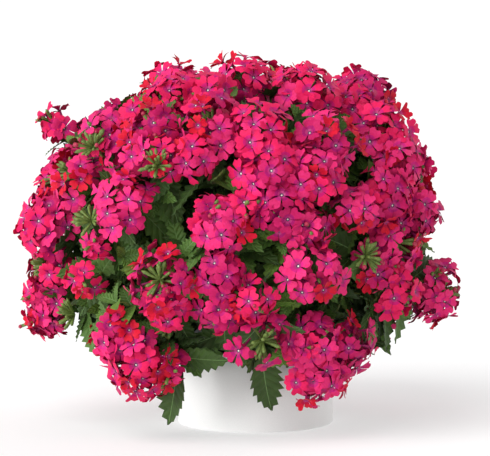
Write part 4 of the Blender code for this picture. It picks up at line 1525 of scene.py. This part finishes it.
# most florets of a head have its main tone, the others one of three; a tone that is named
# twice is drawn twice as often. The darker magenta tone is painted shade, dealt by chance
MAIN_TONES = ("hot_pink", "hot_pink", "rose", "rose", "shade_magenta")
MAIN_TONE_SHARE = 0.6
OTHER_TONES = ("hot_pink", "rose", "shade_magenta")
print("florets of a full head:", sum(count for _, count in HEAD_KINDS["full"][1]))

# %% [markdown]
# ## Placing the florets
#
# A shape faces a direction by a matrix: its place, the turn from +Z to that direction, a turn
# of its own, and its size. A head asks for a direction on its dome for every floret and for
# every calyx of its star.

# %% Florets on their heads
floret_copies = defaultdict(list)
calyx_copies = []


def facing(point, direction, turn, size):
    """The matrix of a shape that faces a direction at a point."""
    look = direction.to_track_quat("Z", "Y").to_matrix().to_4x4()
    return Matrix.Translation(point) @ look @ Matrix.Rotation(turn, 4, "Z") @ Matrix.Scale(size, 4)


def put_floret(hub, axis, direction, dome, fresh, tone, rng):
    """A floret on the dome with its calyx below it."""
    root = hub + axis * SPIKE * (direction.dot(axis) - SPIKE_FOOT)
    middle = hub + direction * (dome + rng.uniform(-UNEVEN, UNEVEN))
    look = (direction + axis * OUTWARD + chance_way(rng, DISORDER)).normalized()
    size = rng.uniform(*FLORET_SIZES) * (FRESH_SIZE if fresh else 1)
    shape = rng.choice(fresh_shapes if fresh else open_shapes)
    floret_copies[tone].append((shape, facing(middle, look, rng.uniform(0, math.tau), size)))
    stalk = middle - root
    calyx_size = min(1, CALYX_SHARE * stalk.length / (CALYX_LENGTH + CALYX_TIP))
    calyx_copies.append((plain_calyx, facing(root, stalk.normalized(), 0, calyx_size)))


def on_dome(basis, lean, angle):
    """The direction that leans from a head's axis by an angle, at a turn round it."""
    return basis @ polar(angle, math.sin(lean), math.cos(lean))


def flower_head(hub, axis, kind, rng):
    """Rings of florets on a dome, and the calyces in its middle."""
    dome, rings, inner, calyces = HEAD_KINDS[kind]
    basis = axis.to_track_quat("Z", "Y").to_matrix()
    main_tone = rng.choice(MAIN_TONES)
    for tilt, count in rings:
        start = rng.uniform(0, math.tau)
        fresh_share = YOUNG_FRESH_SHARE if kind == "young" and tilt < YOUNG_MIDDLE else FRESH_SHARE
        for i in range(count):
            angle = start + math.tau * (i + rng.uniform(-ROUND_STRAY, ROUND_STRAY)) / count
            lean = math.radians(tilt + rng.uniform(-RING_STRAY, RING_STRAY))
            fresh = rng.random() < fresh_share
            tone = main_tone if rng.random() < MAIN_TONE_SHARE else rng.choice(OTHER_TONES)
            put_floret(hub, axis, on_dome(basis, lean, angle), dome * MM, fresh,
                       "fresh_red" if fresh else tone, rng)
    inner_tilt, inner_count = inner
    for i in range(inner_count):
        angle = math.tau * (i + rng.random()) / inner_count
        lean = math.radians(inner_tilt + rng.uniform(-INNER_STRAY, INNER_STRAY))
        put_floret(hub, axis, on_dome(basis, lean, angle), dome * INNER_DOME * MM, False,
                   main_tone, rng)
    for _ in range(calyces):
        lean = math.radians(STAR_SPREAD) * math.sqrt(rng.random())
        direction = on_dome(basis, lean, rng.uniform(0, math.tau))
        shape = bud_calyx if rng.random() < BUD_SHARE else plain_calyx
        root = hub + axis * SPIKE * STAR_FOOT
        calyx_copies.append((shape, facing(root, direction, 0, rng.uniform(*STAR_SIZES))))


def towards_light(hub, axis):
    """High heads on the window's side turn towards it; at the back they face straight out."""
    high = share_between(hub.z, *TURN_HEIGHTS)
    window_side = share_between(hub.y, *TURN_SIDES_Y)
    return (axis + Vector((0, -LIGHT_TURN * high * window_side, 0))).normalized()


for name, index, hub, axis, kind in grown_heads:
    flower_head(hub, towards_light(hub, axis), kind, dice(f"blossom {name} {index}"))
print("florets:", sum(len(copies) for copies in floret_copies.values()))

# %% [markdown]
# ## Joining the plant
#
# Every tone of floret and every green of leaf becomes one piece, and so do the twigs, and the
# calyces with their buds. Together they take the place of the solid masses.

# %% Join the plant
masses = [f"mass_{name}" for name in SHOOTS]
for tone, copies in floret_copies.items():
    joined(f"florets_{tone}", copies, [*petal_finishes[tone], halo, throat, eye], masses)
for tone, copies in leaf_copies.items():
    joined(f"leaves_{tone}", copies, [leaf_finishes[tone], midrib], masses)
joined("square_twigs", twig_copies, [green_bark], masses)
joined("calyces_and_buds", calyx_copies, [calyx_green, bud_red], masses)

# %% [markdown]
# ## Measure and finish
#
# The boxes of the dressed plant and of the solids are printed side by side. The dressed
# plant must keep the size of the solids.

# %% Sizes
dressed_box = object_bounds()
boxes = {"solids": [list(corner) for corner in solids_box],
         "dressed": [list(corner) for corner in dressed_box]}
for label, (low, high) in boxes.items():
    print(label, [round(x / MM, 1) for x in low], [round(x / MM, 1) for x in high])
